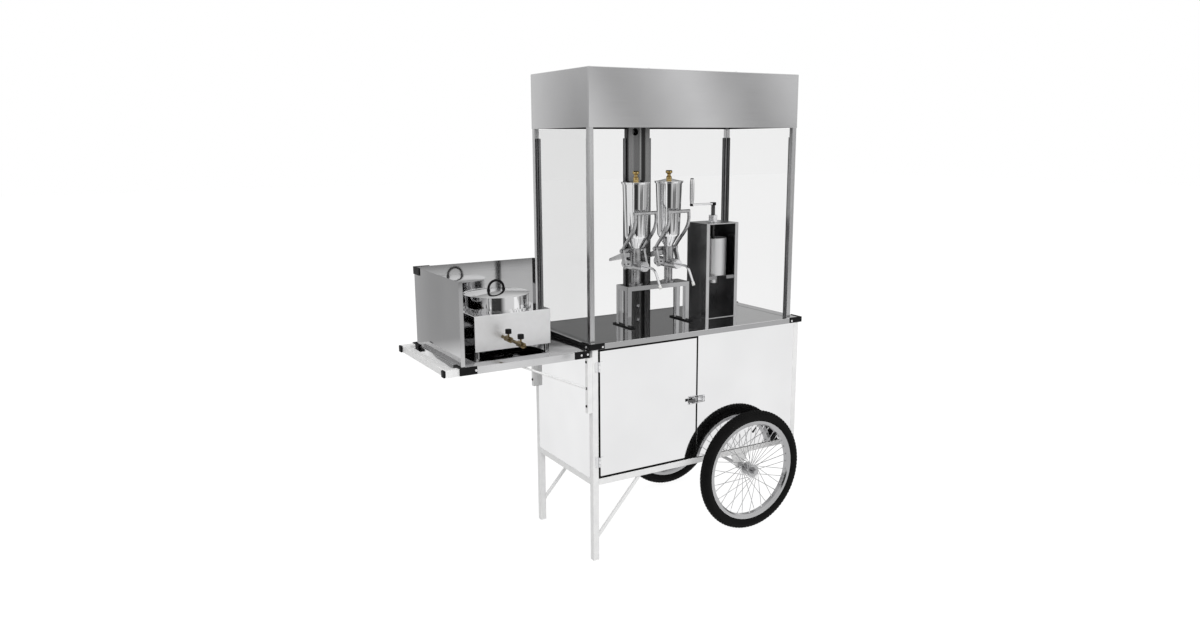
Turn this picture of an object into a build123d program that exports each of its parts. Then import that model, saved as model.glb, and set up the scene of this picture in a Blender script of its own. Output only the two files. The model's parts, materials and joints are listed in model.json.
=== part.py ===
from build123d import *
from math import atan2, cos, degrees, pi, radians, sin, tan
import os

# Churro cart, millimetres, +Z up, +X towards the wheels, -Y towards the customer.
# The origin is on the floor, under the middle of the cart's outline.

# Stock sizes shared by the whole cart
sheet = 1.5
tube = 25.0
tube_wall = 1.5
slim_tube = 20.0
running_clearance = 0.05
loose_clearance = 0.5

# Cabinet and counter
cabinet_length = 1000.0
cabinet_depth = 470.0
counter_height = 847.0
rail_height = 301.0
lip_height = 21.0
lip_gap = 1.5
counter_overhang = 10.0
foot_plate = 3.0
brace_bar = 12.0
brace_foot_height = 92.0
brace_reach = 189.0

# Black plastic corner caps
cap_sheet = 3.0
cap_arm = 60.0
cap_margin = 1.0
cap_flange = 3.5
cap_flange_sheet = 2.0

# Door, hinges and latch
door_width = 445.0
door_gap = 5.0
door_flange = 18.0
hinge_length = 38.0
hinge_leaf = 17.0
hinge_leaf_sheet = 1.5
hinge_pin_radius = 2.0
hinge_knuckle_radius = 4.0
hinge_knuckle_gap = 0.5
hinge_inset = 60.0
latch_height = 569.0
latch_margin = 1.0
latch_width = 40.0
latch_tall = 34.0
latch_sheet = 2.0
latch_pin_radius = 2.0
latch_arm_length = 9.0
latch_pin_stand_off = 7.0
latch_ear_gap = 12.0
latch_lever_length = 24.0
bail_wire_radius = 1.5
bail_length = 56.0
strike_size = 14.0
strike_reach = 6.0

# Wheels and axle
wheel_radius = 249.0
tyre_width = 47.0
tyre_wall = 3.5
wheel_position = 709.5
wheel_stand_off = 58.0
rim_seat_radius = 207.0
rim_inner_radius = 189.0
rim_width = 30.0
rim_well_width = 14.0
rim_wall = 6.0
hub_length = 60.0
hub_barrel_radius = 14.0
hub_flange_radius = 26.0
hub_flange_sheet = 3.0
hub_flange_spread = 20.0
spoke_count = 36
spoke_radius = 1.3
spoke_sweep = 62.0
spoke_end_gap = 0.4
axle_radius = 7.0
axle_collar_radius = 11.0
axle_nut_radius = 12.0
axle_nut_height = 10.0
hanger_width = 90.0
hanger_sheet = 8.0
hanger_eye_radius = 18.0

# Shelf, push handle and windbreak
shelf_length = 500.0
shelf_gap = 14.0
shelf_drop = 20.5
shelf_lip = 26.0
handle_reach = 566.0
handle_cap = 8.0
upright_bottom = 588.0
stay_foot_height = 683.0
stay_reach = 260.0
stay_radius = 4.0
windbreak_height = 295.0
windbreak_inset = 4.0
windbreak_setback = 30.0
windbreak_hem = 15.0

# Fryer on the shelf
fryer_width = 298.0
fryer_depth = 286.0
fryer_body_height = 128.0
fryer_foot_height = 25.5
fryer_foot_radius = 9.0
fryer_foot_plate = 24.0
fryer_centre = 271.0
pot_radius = 118.0
pot_wall = 2.0
pot_depth = 111.0
pot_stand_out = 51.0
pot_bead = 8.0
pot_bead_height = 5.0
pot_hole_clearance = 1.5
lid_overlap = 5.0
lid_sheet = 1.6
lid_rise = 9.0
lid_flat_radius = 42.0
lid_ring_depth = 6.0
lid_handle_radius = 30.0
lid_handle_wire = 4.5
lid_handle_foot = 6.0
burner_ring_radius = 46.0
burner_ring_section = 16.0
burner_height = 22.0
burner_drop = 14.0
strap_width = 26.0
strap_sheet = 3.0
pipe_radius = 6.0
pipe_rise = 13.0
pipe_offset = 42.0
pipe_reach = 162.0
valve_radius = 10.0
valve_length = 24.0
valve_spacing = 100.0
valve_setback = 48.0
stem_radius = 3.5
stem_rise = 30.0
knob_radius = 11.0
knob_height = 16.0
knob_socket = 10.0
nipple_length = 22.0
nipple_radius = 4.5

# Canopy, posts and glass
canopy_end_inset = 30.0
canopy_depth_inset = 20.0
canopy_setback = 15.0
canopy_top = 1833.0
canopy_height = 208.0
canopy_return = 14.0
glass_thickness = 4.0
glass_clearance = 0.3
pane_canopy_gap = 3.0
channel_top = 1588.0
channel_width = 9.0
channel_depth = 10.0
column_width = 114.0
column_hole_radius = 15.0
column_hole_drop = 11.0
column_hole_offset = 16.0

# Dispenser stand
stand_position = 420.0
stand_setback = 230.0
stand_length = 300.0
stand_depth = 86.0
stand_height = 164.0
stand_lip = 18.0
stand_sheet = 2.0
foot_bar_width = 25.0
foot_bar_length = 132.0
foot_bar_sheet = 5.0

# Filling dispensers
dispenser_spacing = 158.0
dispenser_back = 8.0
barrel_height = 77.0
barrel_radius = 20.0
barrel_bore = 14.0
barrel_front = 62.0
barrel_back = 78.0
pillar_radius = 17.0
pillar_flange_radius = 27.0
pillar_flange = 4.0
neck_radius = 17.0
socket_radius = 21.0
socket_rise = 66.0
neck_insert = 32.0
inlet_radius = 12.0
pivot_back = 22.0
pivot_rise = 57.0
pivot_boss_radius = 9.0
pivot_boss_half = 42.0
pivot_pin_radius = 5.0
pivot_head_radius = 8.0
pivot_head = 3.0
tail_length = 198.0
tail_root_width = 32.0
tail_root_height = 36.0
tail_root_drop = 9.0
tail_tip_width = 12.0
tail_tip_height = 12.0
tail_fillet = 4.0
hopper_top = 405.0
hopper_shoulder = 193.0
hopper_throat = 146.0
hopper_top_radius = 53.0
hopper_shoulder_radius = 45.5
hopper_sheet = 1.5
hopper_rim = 4.0
hopper_rim_height = 6.0
hopper_lid_overhang = 2.0
hopper_lid_sheet = 2.0
hopper_lid_rise = 9.0
hopper_lid_ring = 6.0
hopper_lid_ring_gap = 1.0
lid_knob_radius = 13.5
lid_knob_stem = 7.0
lid_knob_base = 11.0
lid_knob_height = 34.0
nozzle_nut_radius = 18.0
nozzle_nut_length = 10.0
nozzle_radius = 5.0
nozzle_wall = 1.5
nozzle_straight = 38.0
nozzle_bend_radius = 45.0
nozzle_bend = 60.0
nozzle_drop = 43.0
nozzle_tip_radius = 6.0
nozzle_tip_length = 14.0

# Pump yoke and plunger
yoke_stroke = 40.0
yoke_arm = 9.0
yoke_arm_width = 11.0
yoke_arm_gap = 2.0
yoke_eye_radius = 11.0
yoke_bar_radius = 7.0
yoke_bar_forward = 92.0
yoke_bar_rise = 155.0
yoke_elbow_forward = 84.0
yoke_elbow_rise = 95.0
yoke_waist_forward = 20.0
yoke_waist_rise = 26.0
cross_pin_radius = 4.0
cross_pin_slot_clearance = 0.65
plunger_front = 46.0
plunger_back = 24.0

# Churro press
press_position = 722.0
press_setback = 235.0
press_width = 163.0
press_depth = 135.0
press_height = 395.0
press_sheet = 2.0
press_flange = 16.0
press_top_plate = 4.0
press_shelf_height = 172.0
press_shelf_sheet = 4.0
press_shelf_lip = 14.0
press_notch = 50.0
cylinder_radius = 58.0
cylinder_wall = 2.0
cylinder_height = 155.0
cylinder_floor = 3.0
nozzle_neck_radius = 22.0
nozzle_neck_length = 36.0
nozzle_neck_wall = 2.5
star_points = 8
star_outer = 14.0
star_inner = 9.0
screw_radius = 8.5
screw_top = 477.0
nut_radius = 19.0
nut_height = 29.0
nut_flange_radius = 26.0
nut_flange = 5.0
piston_height = 20.0
piston_clearance = 0.1
piston_socket = 8.0
piston_rest_gap = 1.0
crank_arm_length = 110.0
crank_arm_width = 16.0
crank_arm_sheet = 8.0
crank_hub_radius = 12.0
crank_hub_height = 12.0
crank_pin_radius = 4.0
crank_head_radius = 7.0
crank_head = 3.0
grip_radius = 9.0
grip_end_radius = 7.5
grip_length = 100.0
grip_end_play = 0.4

# Reference planes and points worked out from the driving sizes
overall_length = handle_reach + handle_cap + cabinet_length + counter_overhang + cap_sheet
left = -overall_length / 2 + handle_reach + handle_cap
right = left + cabinet_length
front = -cabinet_depth / 2
back = cabinet_depth / 2
counter_under = counter_height - sheet
rail_top = rail_height + tube
top_rail_bottom = counter_under - slim_tube
lip_bottom = counter_height - lip_height
lip_stand_off = lip_gap + sheet


def block(x_low, x_high, y_low, y_high, z_low, z_high):
    centre = Pos((x_low + x_high) / 2, (y_low + y_high) / 2, (z_low + z_high) / 2)
    return centre * Box(x_high - x_low, y_high - y_low, z_high - z_low)


def square_tube(start, end, size, wall):
    length = (Vector(*end) - Vector(*start)).length
    seat = Plane(origin=start, z_dir=Vector(*end) - Vector(*start))
    seated = (Align.CENTER, Align.CENTER, Align.MIN)
    outer = Box(size, size, length, align=seated)
    inner = Box(size - 2 * wall, size - 2 * wall, length, align=seated)
    return seat * (outer - inner)


def rod(start, end, radius, bore=0):
    direction = Vector(*end) - Vector(*start)
    seated = (Align.CENTER, Align.CENTER, Align.MIN)
    body = Cylinder(radius, direction.length, align=seated)
    if bore:
        body -= Cylinder(bore, direction.length, align=seated)
    return Plane(origin=start, z_dir=direction) * body


def upright(x, y, z_low, z_high, radius):
    return rod((x, y, z_low), (x, y, z_high), radius)


def crosswise(y, z, x_low, x_high, radius):
    return rod((x_low, y, z), (x_high, y, z), radius)


def lengthwise(x, z, y_low, y_high, radius):
    return rod((x, y_low, z), (x, y_high, z), radius)


def turned(points, x, y, z):
    outline = Polyline(*[(radius, height) for radius, height in points], close=True)
    profile = Plane.XZ * make_face(outline)
    return Pos(x, y, z) * revolve(profile, Axis.Z)


def lipped_tray(x_low, x_high, y_low, y_high, z_low, z_high, thickness):
    outer = block(x_low, x_high, y_low, y_high, z_low, z_high)
    inner = block(
        x_low + thickness, x_high - thickness, y_low + thickness, y_high - thickness,
        z_low, z_high - thickness,
    )
    return outer - inner


def save(name, *solids):
    pieces = [solid for shape in solids for solid in shape.solids()]
    export_step(Compound(children=pieces), f"parts/{name}.step")


# Frame of welded square tube
def frame_uprights():
    half = tube / 2
    legs = []
    for y in (front + half, back - half):
        leg = square_tube((left + half, y, 0), (left + half, y, counter_under), tube, tube_wall)
        leg += block(left, left + tube, y - half, y + half, 0, foot_plate)
        legs.append(leg)
        post_x = right - half
        legs.append(square_tube((post_x, y, rail_height), (post_x, y, counter_under), tube, tube_wall))
    return legs


def frame_rails():
    rails = []
    for bottom, size in ((rail_height, tube), (top_rail_bottom, slim_tube)):
        half = size / 2
        z = bottom + half
        for y in (front + half, back - half):
            rails.append(square_tube((left + tube, y, z), (right - tube, y, z), size, tube_wall))
        for x in (left + half, right - half):
            rails.append(square_tube((x, front + tube, z), (x, back - tube, z), size, tube_wall))
    return rails


def leg_braces():
    inner_face = left + tube
    rise = rail_height - brace_foot_height
    room = block(inner_face, inner_face + 2 * brace_reach, front, back, 0, rail_height)
    braces = []
    for y in (front + tube / 2, back - tube / 2):
        direction = Vector(brace_reach, 0, rise)
        bar = Plane(origin=(inner_face, y, brace_foot_height), z_dir=direction) * Box(
            brace_bar, brace_bar, 3 * direction.length
        )
        braces.append(bar & room)
    return braces


# Cabinet sheets, seated between the tubes
def floor_panel():
    panel = block(left + sheet, right - sheet, front + sheet, back - sheet, rail_top, rail_top + sheet)
    for x in (left, right):
        for y in (front, back):
            panel -= block(x - tube, x + tube, y - tube, y + tube, rail_top - sheet, rail_top + 2 * sheet)
    return panel


def side_panel(outer_face, inward):
    faces = sorted((outer_face, outer_face + inward * sheet))
    return block(*faces, front + tube, back - tube, rail_top, top_rail_bottom)


def back_panel():
    return block(left + tube, right - tube, back - sheet, back, rail_top, top_rail_bottom)


door_left = left + tube + door_gap
door_right = door_left + door_width
panel_left = door_right + door_gap


def front_panel():
    face = block(panel_left, right - tube, front, front + sheet, rail_top, top_rail_bottom)
    jamb = block(
        panel_left, panel_left + sheet, front, front + door_flange, rail_top + sheet, top_rail_bottom
    )
    return face + jamb


def counter_top():
    return lipped_tray(
        left - counter_overhang, right + counter_overhang, front - lip_stand_off, back + lip_stand_off,
        lip_bottom, counter_height, sheet,
    )


# Shelf at the handle end: a tray on two rails that run out as the push handle
shelf_right = left - shelf_gap
shelf_left = shelf_right - shelf_length
shelf_top = counter_height - shelf_drop
shelf_under = shelf_top - sheet
shelf_lip_bottom = shelf_top - shelf_lip
rail_ys = (front + tube / 2, back - tube / 2)


def handle_passages():
    half = tube / 2
    reach = shelf_left - 2 * cap_sheet
    return [block(reach, left, y - half, y + half, shelf_under - tube, shelf_under) for y in rail_ys]


def shelf_tray():
    tray = lipped_tray(
        shelf_left, shelf_right, front - lip_stand_off, back + lip_stand_off,
        shelf_lip_bottom, shelf_top, sheet,
    )
    for passage in handle_passages():
        tray -= passage
    return tray


def push_handle():
    z = shelf_under - tube / 2
    handle_end = left - handle_reach
    bar_x = handle_end + tube / 2
    handle = square_tube((bar_x, front + tube, z), (bar_x, back - tube, z), tube, tube_wall)
    for y in rail_ys:
        handle += square_tube((handle_end, y, z), (shelf_right, y, z), tube, tube_wall)
    return handle


def handle_end_caps():
    z = shelf_under - tube / 2
    handle_end = left - handle_reach
    half = tube / 2
    return [
        block(handle_end - handle_cap, handle_end, y - half, y + half, z - half, z + half) for y in rail_ys
    ]


def shelf_uprights():
    top = shelf_under - tube
    half = slim_tube / 2
    x = left - half
    return [
        square_tube((x, y, upright_bottom), (x, y, top), slim_tube, tube_wall)
        for y in (front + half, back - half)
    ]


def stay_rods():
    top = shelf_under - tube
    foot_x = left - slim_tube
    room = block(foot_x - 2 * stay_reach, foot_x, front, back, upright_bottom, top)
    direction = Vector(-stay_reach, 0, top - stay_foot_height)
    rods = []
    for y in rail_ys:
        long_rod = Plane(origin=(foot_x, y, stay_foot_height), z_dir=direction) * Cylinder(
            stay_radius, 3 * direction.length
        )
        rods.append(long_rod & room)
    return rods


windbreak_left = shelf_left + windbreak_inset
windbreak_front = front - lip_stand_off + windbreak_inset
windbreak_back = back - windbreak_setback
windbreak_top = shelf_top + windbreak_height


def windbreak():
    side = block(
        windbreak_left, windbreak_left + sheet, windbreak_front, windbreak_back, shelf_top, windbreak_top
    )
    rear = block(
        windbreak_left, shelf_right, windbreak_back - sheet, windbreak_back, shelf_top, windbreak_top
    )
    front_hem = block(
        windbreak_left, windbreak_left + windbreak_hem, windbreak_front, windbreak_front + sheet,
        shelf_top, windbreak_top,
    )
    end_hem = block(
        shelf_right - sheet, shelf_right, windbreak_back - windbreak_hem, windbreak_back,
        shelf_top, windbreak_top,
    )
    return side + rear + front_hem + end_hem


# Corner caps wrap the turned-down lips and the windbreak's upper corner
def corner_arms(x, y, x_inward, y_inward, depth, z_low, z_high, both_arms):
    x_outer, y_outer = x - x_inward * cap_sheet, y - y_inward * cap_sheet
    x_start = x_outer if both_arms else x
    along_x = sorted((x_start, x + x_inward * cap_arm))
    across_y = sorted((y_outer, y + y_inward * depth))
    arms = block(*along_x, *across_y, z_low, z_high)
    if both_arms:
        across_x = sorted((x_outer, x + x_inward * depth))
        along_y = sorted((y_outer, y + y_inward * cap_arm))
        arms += block(*across_x, *along_y, z_low, z_high)
    return arms


def corner_cap(x, y, x_inward, y_inward, z_low, z_top, both_arms=True):
    walls = corner_arms(x, y, x_inward, y_inward, 0, z_low, z_top, both_arms)
    flange_top = z_top + cap_flange_sheet
    return walls + corner_arms(x, y, x_inward, y_inward, cap_flange, z_top, flange_top, both_arms)


def corner_caps():
    caps = []
    low = lip_bottom + cap_margin
    shelf_low = shelf_lip_bottom + cap_margin
    for y, inward in ((front - lip_stand_off, 1), (back + lip_stand_off, -1)):
        caps.append(corner_cap(left - counter_overhang, y, 1, inward, low, counter_height))
        caps.append(corner_cap(right + counter_overhang, y, -1, inward, low, counter_height))
        handle_corner = corner_cap(shelf_left, y, 1, inward, shelf_low, shelf_top)
        for passage in handle_passages():
            handle_corner -= passage
        caps.append(handle_corner)
        caps.append(corner_cap(shelf_right, y, -1, inward, shelf_low, shelf_top, both_arms=False))
    caps.append(corner_cap(windbreak_left, windbreak_back, 1, -1, windbreak_top - shelf_lip, windbreak_top))
    return caps


# Through axle on two hangers, with a spoked wheel at each end
wheel_x = left + wheel_position
axle_height = wheel_radius
wheel_plane = cabinet_depth / 2 + wheel_stand_off
hub_inner = wheel_plane - hub_length / 2
hub_outer = wheel_plane + hub_length / 2
axle_end = hub_outer + loose_clearance + axle_nut_height


def axle():
    body = lengthwise(wheel_x, axle_height, -axle_end, axle_end, axle_radius)
    for side in (-1, 1):
        collar_start = (wheel_x, side * (back - tube / 2 + hanger_sheet / 2), axle_height)
        collar_end = (wheel_x, side * (hub_inner - loose_clearance), axle_height)
        body += rod(collar_start, collar_end, axle_collar_radius)
        nut = Plane(origin=(wheel_x, side * axle_end, axle_height), z_dir=(0, -side, 0)) * extrude(
            RegularPolygon(axle_nut_radius, 6), axle_nut_height
        )
        body += nut
    return body


def axle_hangers():
    hangers = []
    half = hanger_width / 2
    rise = rail_height - axle_height
    outline = make_hull([Line((-half, rise), (half, rise)), CenterArc((0, 0), hanger_eye_radius, 0, 360)])
    outline -= Circle(axle_radius + running_clearance)
    for y in rail_ys:
        plate = extrude(Plane.XZ * outline, hanger_sheet / 2, both=True)
        hangers.append(Pos(wheel_x, y, axle_height) * plate)
    return hangers


def around_axle(profile, y):
    ring = revolve(profile, Axis.Z)
    return Pos(wheel_x, y, axle_height) * Rot(X=90) * ring


def tyre(y):
    section_radius = tyre_width / 2
    centre = wheel_radius - section_radius
    section = Pos(centre, 0) * (Circle(section_radius) - Circle(section_radius - tyre_wall))
    section -= Pos(rim_seat_radius - wheel_radius / 2, 0) * Rectangle(wheel_radius, wheel_radius)
    return around_axle(Plane.XZ * section, y)


def rim(y):
    half = rim_width / 2
    shoulder = rim_inner_radius + rim_wall
    well = rim_well_width / 2
    outline = Polyline(
        (rim_seat_radius, -half), (shoulder, -half), (rim_inner_radius, -half + rim_wall),
        (rim_inner_radius, half - rim_wall), (shoulder, half), (rim_seat_radius, half),
        (rim_seat_radius, well), (shoulder, well), (shoulder, -well), (rim_seat_radius, -well), close=True,
    )
    return around_axle(Plane.XZ * make_face(outline), y)


def spoked_hub(y):
    half = hub_length / 2
    flange_low = hub_flange_spread - hub_flange_sheet / 2
    flange_high = hub_flange_spread + hub_flange_sheet / 2
    bore = axle_radius + running_clearance
    outline = Polyline(
        (bore, -half), (hub_barrel_radius, -half), (hub_barrel_radius, -flange_high),
        (hub_flange_radius, -flange_high), (hub_flange_radius, -flange_low), (hub_barrel_radius, -flange_low),
        (hub_barrel_radius, flange_low), (hub_flange_radius, flange_low), (hub_flange_radius, flange_high),
        (hub_barrel_radius, flange_high), (hub_barrel_radius, half), (bore, half), close=True,
    )
    hub = revolve(Plane.XZ * make_face(outline), Axis.Z)
    root_radius = hub_flange_radius - 2 * spoke_radius
    tip_radius = rim_inner_radius - spoke_end_gap
    spokes = []
    for index in range(spoke_count):
        side = 1 if index % 2 else -1
        tip_angle = radians(index * 360 / spoke_count)
        root_angle = tip_angle + side * radians(spoke_sweep)
        root = Vector(root_radius * cos(root_angle), root_radius * sin(root_angle), side * hub_flange_spread)
        tip = Vector(tip_radius * cos(tip_angle), tip_radius * sin(tip_angle), side * 2 * spoke_radius)
        span = tip - root
        spokes.append(
            Plane(origin=root, z_dir=span) * extrude(RegularPolygon(spoke_radius, 6), span.length)
        )
    return Pos(wheel_x, y, axle_height) * Rot(X=90) * hub.fuse(*spokes)


# Fryer: a box on four feet, a burner inside, a lidded pot and the gas valves
fryer_x = left - fryer_centre
fryer_y = 0.0
fryer_front = fryer_y - fryer_depth / 2
fryer_bottom = shelf_top + fryer_foot_height
fryer_top = fryer_bottom + fryer_body_height
pot_top = fryer_top + pot_stand_out
pot_bottom = pot_top - pot_depth
pipe_x = fryer_x - pipe_offset
burner_top = pot_bottom - burner_drop
burner_bottom = burner_top - burner_height
feed_start = fryer_front + valve_length
pipe_height = burner_bottom + pipe_rise


def fryer_box():
    x_low, x_high = fryer_x - fryer_width / 2, fryer_x + fryer_width / 2
    y_low, y_high = fryer_front, fryer_front + fryer_depth
    box = lipped_tray(x_low, x_high, y_low, y_high, fryer_bottom, fryer_top, sheet)
    half_plate = fryer_foot_plate / 2
    for x in (x_low + half_plate, x_high - half_plate):
        for y in (y_low + half_plate, y_high - half_plate):
            box += block(
                x - half_plate, x + half_plate, y - half_plate, y + half_plate,
                fryer_bottom, fryer_bottom + 2 * sheet,
            )
            box += upright(x, y, shelf_top, fryer_bottom, fryer_foot_radius)
    hole = Cylinder(pot_radius + pot_hole_clearance, 4 * sheet)
    box -= Pos(fryer_x, fryer_y, fryer_top) * hole
    pipe_hole = pipe_radius + loose_clearance
    return box - lengthwise(pipe_x, pipe_height, fryer_front - tube, feed_start, pipe_hole)


def burner():
    ring = turned(
        [
            (burner_ring_radius - burner_ring_section, 0), (burner_ring_radius + burner_ring_section, 0),
            (burner_ring_radius + burner_ring_section / 2, burner_height),
            (burner_ring_radius - burner_ring_section / 2, burner_height),
        ],
        fryer_x, fryer_y, burner_bottom,
    )
    feed = lengthwise(pipe_x, pipe_height, feed_start, fryer_y, pipe_radius + pot_wall)
    half = fryer_width / 2 - sheet
    strap = block(
        fryer_x - half, fryer_x + half, fryer_y - strap_width / 2, fryer_y + strap_width / 2,
        burner_bottom - strap_sheet, burner_bottom,
    )
    return ring + feed + strap


valve_ys = (fryer_front - valve_setback, fryer_front - valve_setback - valve_spacing)


def gas_manifold():
    pipe_end = fryer_front - pipe_reach
    pipe = lengthwise(pipe_x, pipe_height, pipe_end, feed_start, pipe_radius)
    nipple_end = pipe_end - nipple_length
    pipe += lengthwise(pipe_x, pipe_height, nipple_end, pipe_end, nipple_radius)
    for y in valve_ys:
        half = valve_length / 2
        pipe += lengthwise(pipe_x, pipe_height, y - half, y + half, valve_radius)
        pipe += upright(pipe_x, y, pipe_height, pipe_height + stem_rise, stem_radius)
    return pipe


def gas_knob(y):
    low = pipe_height + stem_rise - knob_socket
    knob = Pos(pipe_x, y, low) * extrude(Circle(knob_radius), knob_height)
    knob = fillet(knob.edges().group_by(Axis.Z)[-1], knob_radius / 4)
    socket_top = low + knob_socket + running_clearance
    return knob - upright(pipe_x, y, low, socket_top, stem_radius + running_clearance)


def fryer_pot():
    bead = pot_radius + pot_bead
    inner = pot_radius - pot_wall
    seat = fryer_top - pot_bottom
    return turned(
        [
            (0, 0), (pot_radius, 0), (pot_radius, seat), (bead, seat), (bead, seat + pot_bead_height),
            (pot_radius, seat + pot_bead_height), (pot_radius, pot_depth), (inner, pot_depth),
            (inner, pot_wall), (0, pot_wall),
        ],
        fryer_x, fryer_y, pot_bottom,
    )


def pot_lid():
    rim_radius = pot_radius + lid_overlap
    ring = pot_radius - pot_wall - 2 * loose_clearance
    return turned(
        [
            (0, lid_rise), (lid_flat_radius, lid_rise), (ring - lid_sheet, 0),
            (ring - lid_sheet, -lid_ring_depth), (ring, -lid_ring_depth), (ring, 0), (rim_radius, 0),
            (rim_radius, lid_sheet), (ring, lid_sheet), (lid_flat_radius, lid_rise + lid_sheet),
            (0, lid_rise + lid_sheet),
        ],
        fryer_x, fryer_y, pot_top,
    )


def pot_lid_handle():
    seat = pot_top + lid_rise + lid_sheet
    arch = Plane.XZ * CenterArc((0, lid_handle_foot), lid_handle_radius, 0, 180)
    section = Plane(origin=(lid_handle_radius, 0, lid_handle_foot), z_dir=(0, 0, 1)) * Circle(lid_handle_wire)
    handle = sweep(section, path=arch)
    for x in (-lid_handle_radius, lid_handle_radius):
        handle += upright(x, 0, 0, lid_handle_foot, lid_handle_wire + lid_sheet)
    return Pos(fryer_x, fryer_y, seat) * handle


# Canopy on four slim posts, with glass at the ends and the back
canopy_left = left
canopy_right = right - canopy_end_inset
canopy_front = front + canopy_setback
canopy_back = canopy_front + cabinet_depth - canopy_depth_inset
canopy_bottom = canopy_top - canopy_height
half_post = slim_tube / 2
post_left = canopy_left + sheet + half_post
post_right = canopy_right - sheet - half_post
post_front = canopy_front + sheet + half_post
post_back = canopy_back - sheet - half_post
column_left = (canopy_left + canopy_right - column_width) / 2
column_right = column_left + column_width


def canopy():
    lid = lipped_tray(
        canopy_left, canopy_right, canopy_front, canopy_back, canopy_bottom, canopy_top, sheet
    )
    low, high = canopy_bottom, canopy_bottom + sheet
    start, end = canopy_left + sheet + slim_tube, canopy_right - sheet - slim_tube
    lid += block(start, end, canopy_front, canopy_front + canopy_return, low, high)
    for x_low, x_high in ((start, column_left), (column_right, end)):
        lid += block(x_low, x_high, canopy_back - canopy_return, canopy_back, low, high)
    return lid


def canopy_posts():
    return [
        square_tube((x, y, counter_height), (x, y, canopy_top - sheet), slim_tube, sheet)
        for x in (post_left, post_right)
        for y in (post_front, post_back)
    ]


def centre_column():
    low, high = post_back - half_post, post_back + half_post
    top = canopy_top - sheet
    column = block(column_left, column_right, low, high, counter_height, top)
    column -= block(
        column_left + sheet, column_right - sheet, low + sheet, high - sheet, counter_height, top
    )
    hole_x = (column_left + column_right) / 2 - column_hole_offset
    hole_z = canopy_bottom - column_hole_drop
    return column - lengthwise(hole_x, hole_z, low - sheet, low + 2 * sheet, column_hole_radius)


def glazing():
    slot = glass_thickness + 2 * glass_clearance
    runs = []
    for x in (post_left, post_right):
        runs.append(((x, post_front + half_post), (x, post_back - half_post)))
    runs.append(((post_left + half_post, post_back), (column_left, post_back)))
    runs.append(((column_right, post_back), (post_right - half_post, post_back)))
    panes = []
    channels = []
    for start, end in runs:
        span = Vector(*end) - Vector(*start)
        seat = Plane(origin=(*start, counter_height), x_dir=(span.X, span.Y, 0), z_dir=(0, 0, 1))
        pane_height = canopy_bottom - pane_canopy_gap - counter_height
        channel_height = channel_top - counter_height
        bottom_left = (Align.MIN, Align.CENTER, Align.MIN)
        pane_start = sheet + glass_clearance
        pane = Box(span.length - 2 * pane_start, glass_thickness, pane_height, align=bottom_left)
        panes.append(seat * Pos(pane_start, 0, 0) * pane)
        channel = Box(channel_depth, channel_width, channel_height, align=bottom_left)
        channel -= Pos(sheet, 0, 0) * Box(channel_depth, slot, channel_height, align=bottom_left)
        channels.append(seat * channel)
        channels.append(seat * Pos(span.length, 0, 0) * Rot(Z=180) * channel)
    return panes, channels


# Door: a folded pan on two butt hinges at the leg
hinge_x = left + tube + door_gap / 2
hinge_y = front - hinge_knuckle_radius
door_bottom = rail_top + sheet + door_gap
door_top = top_rail_bottom - door_gap
hinge_zs = (door_bottom + hinge_inset, door_top - hinge_inset)


def hinge_leaf_solid(z, x_side, knuckles):
    reach = sorted((hinge_x, hinge_x + x_side * hinge_leaf))
    leaf = block(*reach, front - hinge_leaf_sheet, front, z - hinge_length / 2, z + hinge_length / 2)
    pin_room = hinge_knuckle_radius + loose_clearance
    leaf -= upright(hinge_x, hinge_y, z - hinge_length, z + hinge_length, pin_room)
    trim = sorted((hinge_x, hinge_x + x_side * door_gap / 2))
    leaf -= block(*trim, front - sheet, front, z - hinge_length, z + hinge_length)
    for low, high in knuckles:
        knuckle = upright(hinge_x, hinge_y, low, high, hinge_knuckle_radius)
        strap = sorted((hinge_x, hinge_x + x_side * (hinge_knuckle_radius + loose_clearance + sheet)))
        leaf += knuckle
        leaf += block(*strap, front - hinge_leaf_sheet, front - hinge_leaf_sheet / 3, low, high)
    return leaf


def hinge_knuckles(z):
    third = hinge_length / 3
    low, high = z - hinge_length / 2, z + hinge_length / 2
    middle = [(low + third + hinge_knuckle_gap, high - third - hinge_knuckle_gap)]
    outer = [(low, low + third), (high - third, high)]
    return middle, outer


def door():
    pan = block(door_left, door_right, front, front + door_flange, door_bottom, door_top)
    pan -= block(
        door_left + sheet, door_right - sheet, front + sheet, front + door_flange,
        door_bottom + sheet, door_top - sheet,
    )
    leaves = []
    for z in hinge_zs:
        middle, _ = hinge_knuckles(z)
        leaf = hinge_leaf_solid(z, 1, middle)
        bore = hinge_pin_radius + running_clearance
        leaf -= upright(hinge_x, hinge_y, z - hinge_length, z + hinge_length, bore)
        leaves.append(leaf)
    return [pan] + leaves


def door_hinges():
    hinges = []
    for z in hinge_zs:
        _, outer = hinge_knuckles(z)
        leaf = hinge_leaf_solid(z, -1, outer)
        low, high = z - hinge_length / 2, z + hinge_length / 2
        hinges.append(leaf + upright(hinge_x, hinge_y, low, high, hinge_pin_radius))
    return hinges


# Draw latch: a lever on the door pulls a wire bail over a peg on the fixed panel
latch_right = door_right - latch_margin
latch_left = latch_right - latch_width
latch_face = front - latch_sheet
latch_pin_y = latch_face - latch_pin_stand_off
latch_pin_x = latch_right - latch_width / 3
bail_pin_x = latch_pin_x - latch_arm_length
bail_reach = latch_ear_gap / 2 + latch_sheet + bail_wire_radius + loose_clearance
bail_tip_x = bail_pin_x + bail_length
strike_x = bail_tip_x - bail_wire_radius - loose_clearance
latch_low = latch_height - latch_tall / 2
latch_high = latch_height + latch_tall / 2


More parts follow.
